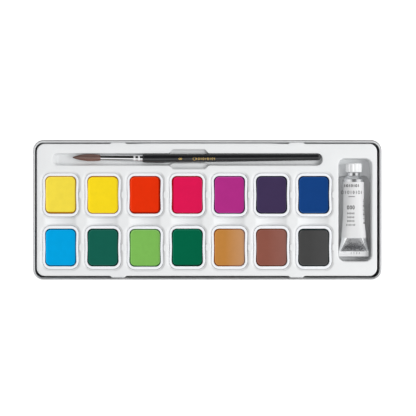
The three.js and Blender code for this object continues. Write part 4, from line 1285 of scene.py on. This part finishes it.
def makeHandleMarks():
    y = brushAxis[1] + marks["handle"]["y"]
    strokes = [loop(x, y, radius, radius, marks["smallWidth"]) for x, radius in marks["smallRings"]]
    row = markRow(marks["handle"], 0, brushAxis[1])
    strokes += [loop(marks["handle"]["run"][0], y, *marks["firstRing"]), *row[1:]]
    addMarks("handle_print", strokes, handleTop, metalMaterial("goldPrint", **brush["gold"]), "brush")


makeHandleMarks()

# Tube: half widths, half heights and the height of the flat along its axis, from the folded end
tube = {
    "crimpHalf": (13.25, 0.9),
    "crimpFrom": 0.6,
    "foldRows": ((0, 0.55), (0.12, 0.85), (0.4, 1), (1.9, 1), (2.0, 0.93), (2.15, 0.93), (2.25, 1), (4.7, 1),
                 (5.0, 0.9), (5.1, 0.5)),  # (place, share of the full section) of the folded strip
    "foldEnd": 17,
    "at": (5.1, 17, 33.6, 50.2, 68.6),
    "halfWidth": (13.1, 11, 9.6, 9.1, 9.1),
    "halfHeight": (1.71, 8.04, 8.35, 8.9, 9.15),
    "flat": (0.9, 7, 8.1, 9.8, 13),
    "sharpness": 16,
    "bodyLength": 68.6,
    "labelEnd": 66,
    "wander": 1.6,  # of the label's lower edge
    "drift": (160, 3),
    "skin": {"Low": 0.2, "High": 0.36, "Dents": 0.7, "Line Scale": (1500, 90, 1500), "Dent Scale": 260},
    "shoulder": 3,
    "shoulderRound": 0.7,
    "collar": (5.5, 2.7),
    "neck": (4.15, 5.1),
    "thread": (0.22, 1.5),
    "orifice": (1.8, 3),
    "dent": 0.16,
    "dentFrom": (6, 6),  # (place, length over which the dents grow)
    "dentTo": (64, 12),
    "metal": ((196, 197, 199), (232, 233, 235)),
    "facet": {"from": 5.6, "halves": (11.2, 5.9), "tones": ((205, 206, 208), (112, 113, 116)), "edge": 0.5,
              "paintedDarkEdgeTone": (70, 71, 74), "edgeShare": 0.8, "soft": 0.2, "paintedPaleWings": (240, 241, 242),
              "paintedCreaseReflections": (1100, 3, 0.7), "paintedCreaseBand": (0.28, 0.46)},  # the bent flat between fold and label, coloured with painted reflection
    "label": ((224, 224, 225), (231, 231, 232)),
    # white satin tone of the folded strip, a painted reflection in place of bright metal
    "lacquer": {"tones": ((226, 227, 228), (238, 239, 240)), "low": 0.3, "high": 0.42, "grain": 1500, "depth": 0.03,
                "rubs": 0.8},
}
tubeX, tubeZ = (tubeLow[0] + tubeHigh[0]) / 2, (tubeLow[2] + tubeHigh[2]) / 2
tubeFoot = tubeLow[1]


# Straight in the fold, where the sheet is folded flat, and smooth above it
def tubeCurve(values, v):
    at, fold = tube["at"], tube["at"][1]
    smooth = smoothCurve(at[1:], tube[values][1:], np.maximum(v, fold))
    return np.where(v < fold, np.interp(v, at, tube[values]), smooth)


# Height of the section above the axis: an ellipse whose top is brought under the flat by a soft minimum,
# z (1 + (z / flat)^n)^(-1/n)
def clippedHeight(z, flat):
    return z * (1 + (np.abs(z) / flat) ** tube["sharpness"]) ** (-1 / tube["sharpness"])


# Soft dents of a squeezed tube, which fade towards its shoulder and its fold. They pull the section in by
# dent * ripple, most of it at the top and bottom.
def dented(x, z, v, rise):
    (start, grow), (end, fall) = tube["dentFrom"], tube["dentTo"]
    fade = np.clip((end - v) / fall, 0, 1) * np.clip((v - start) / grow, 0, 1)
    hollow = tube["dent"] * ripple(x + 3 * np.sign(z), v + 0 * x, 11, 13) * fade
    return z * (1 - 0.06 * np.abs(hollow)) - hollow * rise * 0.6


def tubeTop(x, y):
    v = y - tubeFoot
    across = np.clip((x - tubeX) / tubeCurve("halfWidth", v), -1, 1)
    rise = np.sqrt(1 - across ** 2)
    z = clippedHeight(tubeCurve("halfHeight", v) * rise, tubeCurve("flat", v))
    return tubeZ + dented(x - tubeX, z, v, rise) + marks["proud"]


def tubeRings():
    last = tube["bodyLength"] - tube["shoulderRound"]
    fold = np.linspace(tube["at"][0], tube["foldEnd"], 26)
    v = np.concatenate([fold, np.linspace(tube["foldEnd"], last, 74)[1:]])[:, None]
    angle = np.linspace(0, 2 * np.pi, 97)[None, :-1]
    x = tubeCurve("halfWidth", v) * np.cos(angle)
    z = clippedHeight(tubeCurve("halfHeight", v) * np.sin(angle), tubeCurve("flat", v))
    body = np.stack([x, v + 0 * x, dented(x, z, v, np.abs(np.sin(angle)))], -1)
    end, radius = tube["bodyLength"], tube["halfWidth"][-1]
    collar, collarLength = tube["collar"]
    neck, neckLength = tube["neck"]
    orifice, orificeDepth = tube["orifice"]
    threadDepth, pitch = tube["thread"]
    cone = end + tube["shoulder"]
    seat = cone + collarLength
    top = seat + neckLength
    rim = arcRows(0, 0, tube["shoulderRound"], 0, 60, 5)
    rows = [[end - tube["shoulderRound"] + b, radius - tube["shoulderRound"] + a] for a, b in rim.tolist()]
    rows += [[cone - 0.3, collar + 0.25], [cone, collar + 0.04], [cone + 0.25, collar], [seat - 0.3, collar]]
    rows += [[seat, collar - 0.3], [seat, neck]]
    rows += [[y, neck] for y in np.linspace(seat, top - 0.3, 28)[1:].tolist()]
    rows += [[top, neck - 0.3], [top, orifice], [top - orificeDepth, orifice]]
    y, radius = np.array(rows)[:, :1], np.array(rows)[:, 1:]
    turn = np.maximum(np.sin(2 * np.pi * y / pitch - angle), -0.2)
    radii = radius + ((y > seat + 0.4) & (y < top - 0.5)) * threadDepth * turn
    spout = np.stack([radii * np.cos(angle), y + 0 * angle, radii * np.sin(angle)], -1)
    return np.concatenate([body, spout]) + [tubeX, tubeFoot, tubeZ]


# The flat over the fold is a trapezium: |x| less its half width at this height is below 0 in it, near 0 on
# its bent edges. Painted reflection: dark in it, darker on its edges and creases, most by the fold, pale beside it.
def facetPaintedReflection(tree, place, y, plain):
    facet = tube["facet"]
    x = placeAlong(tree, place, "X")
    rise = rangeNode(tree, y, (tubeFoot + facet["from"]) * mm, (tubeFoot + tube["foldEnd"]) * mm, 0, 1)
    wide, narrow = facet["halves"]
    half = mathNode(tree, "MULTIPLY_ADD", rise, (narrow - wide) * mm, wide * mm)
    across = mathNode(tree, "ABSOLUTE", mathNode(tree, "SUBTRACT", x, tubeX * mm))
    beyond = mathNode(tree, "SUBTRACT", across, half)
    inside = rangeNode(tree, beyond, -facet["soft"] * mm, facet["soft"] * mm, 1, 0)
    bent = rangeNode(tree, mathNode(tree, "ABSOLUTE", beyond), 0, facet["edge"] * mm, 1, 0)
    above = rangeNode(tree, y, (tubeFoot + tube["foldEnd"]) * mm, (tubeFoot + tube["foldEnd"] + 0.5) * mm, 1, 0)
    away = mathNode(tree, "ABSOLUTE", mathNode(tree, "SUBTRACT", rise, 0.3))
    paintedCreaseReflections = mathNode(tree, "MULTIPLY_ADD", away, -0.5, noiseNode(tree, place, *facet["paintedCreaseReflections"]))
    paintedCreaseShare = rangeNode(tree, paintedCreaseReflections, *facet["paintedCreaseBand"], 0, 1)
    flat = mixTones(tree, paintedCreaseShare, facet["tones"])
    fold = mixColours(tree, inside, linear(*facet["paintedPaleWings"]), flat)
    edges = mathNode(tree, "MULTIPLY", bent, facet["edgeShare"])
    edged = mixColours(tree, edges, fold, linear(*facet["paintedDarkEdgeTone"]))
    return mixColours(tree, above, plain, edged)


# Label mask: white between two heights along the tube, with a lower edge that wanders a little
def tubeMaterial():
    material, tree, shader = newMaterial("tubeSkin", Coat_Weight=0.12, Coat_Roughness=0.2)
    place = objectPlace(tree)
    y = placeAlong(tree, place, "Y")
    drift = noiseNode(tree, place, *tube["drift"])
    wander = mathNode(tree, "MULTIPLY_ADD", drift, tube["wander"] * mm, -tube["wander"] / 2 * mm)
    start, end = tubeFoot + tube["foldEnd"], tubeFoot + tube["labelEnd"]
    low = rangeNode(tree, mathNode(tree, "ADD", y, wander), (start - 0.2) * mm, (start + 0.1) * mm, 0, 1)
    label = mathNode(tree, "MULTIPLY", low, rangeNode(tree, y, (end - 0.2) * mm, end * mm, 1, 0))
    skin = useGroup(tree, metalGroup, **tube["skin"])
    metal = facetPaintedReflection(tree, place, y, mixTones(tree, skin["Tone"], tube["metal"]))
    colour = mixColours(tree, label, metal, mixTones(tree, skin["Tone"], tube["label"]))
    rough = mathNode(tree, "MULTIPLY_ADD", label, 0.2, skin["Roughness"])
    plain = mathNode(tree, "SUBTRACT", 1, label)
    normal = bumpNode(tree, skin["Height"], 0.5, 0.07)
    linkAll(tree, shader.inputs, Base_Color=colour, Metallic=plain, Roughness=rough, Normal=normal)
    return material


# Folded strip across the end: a rounded bar with a lip where the last fold lies over it
def foldRings():
    halfX, halfZ = tube["crimpHalf"]
    middle, shares, rings = np.array([0.0]), np.linspace(-1, 1, 40), []
    for v, scale in tube["foldRows"]:
        thick = halfZ * scale
        ring = roundedRing(halfX - 0.3 * (1 - scale), thick, min(0.8, thick * 0.9), middle, shares, 4)
        x, z = ring.T
        bend = 0.12 * ripple(x, x * 0 + v * 0.2, 5, 16)
        rings.append(np.column_stack([x, np.full(len(ring), v + tube["crimpFrom"]), z + bend]))
    return np.array(rings) + [tubeX, tubeFoot, tubeZ]


def makeTube():
    skin = makeMesh("tube_skin", [ringPatch(tubeRings(), True, True)])
    addPiece("tube_skin", skin, tubeMaterial(), "tube", "tube_body")
    # The folded strip gets a white satin tone in place of metal, a painted reflection of its brightness
    lacquer = plasticMaterial("foldPaintedReflection", **tube["lacquer"])
    addPiece("tube_fold", makeMesh("tube_fold", [ringPatch(foldRings(), True, True)]), lacquer, "tube")


def makeTubeMarks():
    x = tubeX + marks["labelX"]
    lineX, lineY, *line = marks["line"]
    strokes = [bar(x + lineX, lineY, *line), *markRow(marks["upper"], x, 0), *markRow(marks["lower"], x, 0)]
    strokes += markRow(marks["zeros"], x, 0)
    for y, width in marks["rows"]:
        for i, place in enumerate(np.linspace(x - width / 2, x + width / 2, 7)):
            strokes.append(bar(place, y, *marks["rowBars"][i % 3], True))
    for i, y in enumerate(np.linspace(*marks["edge"])):
        across = tubeX + tubeCurve("halfWidth", y - tubeFoot) * marks["edgeShare"]
        strokes.append(bar(across, y, *marks["edgeBars"][i % 4], True))
    addMarks("tube_print", strokes, tubeTop, plasticMaterial("printInk", **marks["ink"]), "tube")
    top, y = tubeZ + tube["crimpHalf"][1] + 3 * marks["proud"], tubeFoot + marks["stampY"]
    stamps = [bar(tubeX + place, y, *marks["stampBar"], True) for place in np.linspace(*marks["stamps"])]
    stamped = metalMaterial("stampedMetal", **marks["stamp"])
    addMarks("fold_stamps", stamps, lambda x, y: np.full(x.shape, top), stamped, "tube")


makeTube()
makeTubeMarks()
print("tube made")

# Cap: twelve rounded ribs round a closed end, bored for the neck. Rib depth follows cos^4 between the ribs.
cap = {
    "radius": 7.05,
    "ribs": 12,
    "ribDepth": 0.75,
    "edge": 0.4,
    "bore": 4.5,
    "lip": 0.2,
    "foot": ((0, 0.35), (0.12, 0.1), (0.35, 0)),  # (up, inwards) round its open edge
    "top": ((0, 4.6), (0.12, 4.4), (0.12, 0.001)),  # (down, radius) of the shallow dish in its closed end
    "floor": 39.15,
    "finish": {"tones": ((238, 239, 240), (246, 247, 248)), "low": 0.2, "high": 0.32, "grain": 2400, "depth": 0.012,
               "rubs": 0.4},
    "linerTones": ((214, 210, 202), (232, 229, 222)),
    "linerCells": 3500,  # per metre
}


def ribbedRadius(y, radius, angle):
    between = np.cos(angle * cap["ribs"] / 2) ** 4
    fade = np.clip((capHigh[1] - 0.7 - y) / 0.4, 0, 1) * np.clip((y - capLow[1]) / 0.3, 0, 1)
    return -cap["ribDepth"] * between * fade * (radius > cap["bore"] + 1.2)


def makeCap():
    start, end, radius, bore, lip = capLow[1], capHigh[1], cap["radius"], cap["bore"], cap["lip"]
    rows = [[start + up, radius - within] for up, within in cap["foot"]]
    rows += [[y, radius] for y in np.linspace(start + 0.8, end - cap["edge"] - 0.1, 12).tolist()]
    rows += [[end - b, radius - a] for a, b in (np.array(quarter(6)) * cap["edge"]).tolist()]
    rows += [[end - down, across] for down, across in cap["top"]]
    floor = cap["floor"]
    inner = [[floor, 0.001], [floor, bore - lip], [floor - lip, bore], [start + lip, bore], [start, bore + lip]]
    profile = np.array(inner + rows)
    material = plasticMaterial("capPlastic", **cap["finish"])
    origin = np.array([tubeX, 0, tubeZ])
    turnedPiece("cap_shell", profile, origin, "y", 144, material, "cap", "tube_cap", ribbedRadius)


def foamMaterial():
    material, tree, shader = newMaterial("linerFoam", Roughness=0.8)
    cells = cellNode(tree, objectPlace(tree), cap["linerCells"])
    colour = mixTones(tree, cells, cap["linerTones"])
    linkAll(tree, shader.inputs, Base_Color=colour, Normal=bumpNode(tree, cells, 0.5, 0.03))
    return material


makeCap()
liner = bpy.data.objects["cap_liner"]
liner.data.materials.clear()
liner.data.materials.append(foamMaterial())
print("cap made")

# Light: an even white sky for matt surfaces, and a large soft lamp at the right. Reflections see bands of
# light and dark from front to back, as under a photographer's panels, and plain pale panels at both ends.
# The floor glows a little for the camera alone, which leaves the soft shadow on white.
light = {
    "sky": 0.6,
    "lampFrom": (0.7, -0.12, 0.82),
    "lampDistance": 2.6,
    "lampSize": 1.3,
    "lampPower": 36,
    "bands": ((0.0, 0.4), (0.05, 0.4), (0.13, 0.4), (0.19, 1.2), (0.36, 1.3), (0.45, 0.25), (0.56, 0.03), (0.95, 0.0),
              (1.0, 0.6)),  # (place from front to back, level)
    "floorTones": ((0.92, 0.92, 0.92, 1), (0.95, 0.95, 0.95, 1)),
    "sides": 1.15,
    "floorGlow": 0.66,
    "floorHalf": 3000,
}


def makeWorld():
    world = bpy.data.worlds.new("studio")
    bpy.context.scene.world = world
    world.use_nodes = True
    tree = world.node_tree
    sky = tree.nodes["Background"]
    rays = addNode(tree, "ShaderNodeLightPath").outputs
    direction = addNode(tree, "ShaderNodeTexCoord").outputs["Generated"]
    towards = addNode(tree, "ShaderNodeSeparateXYZ", {0: direction}).outputs
    ramp = addNode(tree, "ShaderNodeValToRGB", {0: mathNode(tree, "MULTIPLY_ADD", towards["Y"], 0.5, 0.5)})
    elements = ramp.color_ramp.elements
    while len(elements) < len(light["bands"]):
        elements.new(0.5)
    for element, (place, level) in zip(elements, light["bands"]):
        element.position = place
        element.color = (level, level, level, 1)
    even, pale = light["sky"], light["sides"]
    sideways = rangeNode(tree, mathNode(tree, "ABSOLUTE", towards["X"]), 0.3, 0.6, 0, 1)
    panels = mixColours(tree, sideways, ramp.outputs["Color"], (pale, pale, pale, 1))
    glossy = mixColours(tree, rays["Is Glossy Ray"], (even, even, even, 1), panels)
    tree.links.new(mixColours(tree, rays["Is Camera Ray"], glossy, (1, 1, 1, 1)), sky.inputs["Color"])


def makeLamp():
    data = bpy.data.lights.new("softLamp", "AREA")
    data.size = light["lampSize"]
    data.energy = light["lampPower"]
    lamp = bpy.data.objects.new("softLamp", data)
    towards = Vector(light["lampFrom"]).normalized()
    lamp.location = towards * light["lampDistance"]
    lamp.rotation_euler = towards.to_track_quat("Z", "Y").to_euler()
    lamp.visible_glossy = False  # its place in reflections is taken by the bands
    bpy.context.scene.collection.objects.link(lamp)


def makeFloor():
    half = light["floorHalf"]
    corners = [[-half, -half, 0], [half, -half, 0], [half, half, 0], [-half, half, 0]]
    mesh = makeMesh("floor", [(np.array(corners, float), [[0, 1, 2, 3]])], closed=False)
    material, tree, shader = newMaterial("floorPaper", Roughness=0.9, Specular_IOR_Level=0.1)
    grain = noiseNode(tree, objectPlace(tree), 300, 3)
    linkAll(tree, shader.inputs, Base_Color=mixColours(tree, grain, *light["floorTones"]))
    shader.inputs["Emission Color"].default_value = (1, 1, 1, 1)
    seen = addNode(tree, "ShaderNodeLightPath").outputs["Is Camera Ray"]
    tree.links.new(mathNode(tree, "MULTIPLY", seen, light["floorGlow"]), shader.inputs["Emission Strength"])
    mesh.materials.append(material)
    floor = bpy.data.objects.new("floor", mesh)
    bpy.context.scene.collection.objects.link(floor)


makeWorld()
makeLamp()
makeFloor()
bpy.context.scene.view_settings.view_transform = "Standard"
print("stage set")
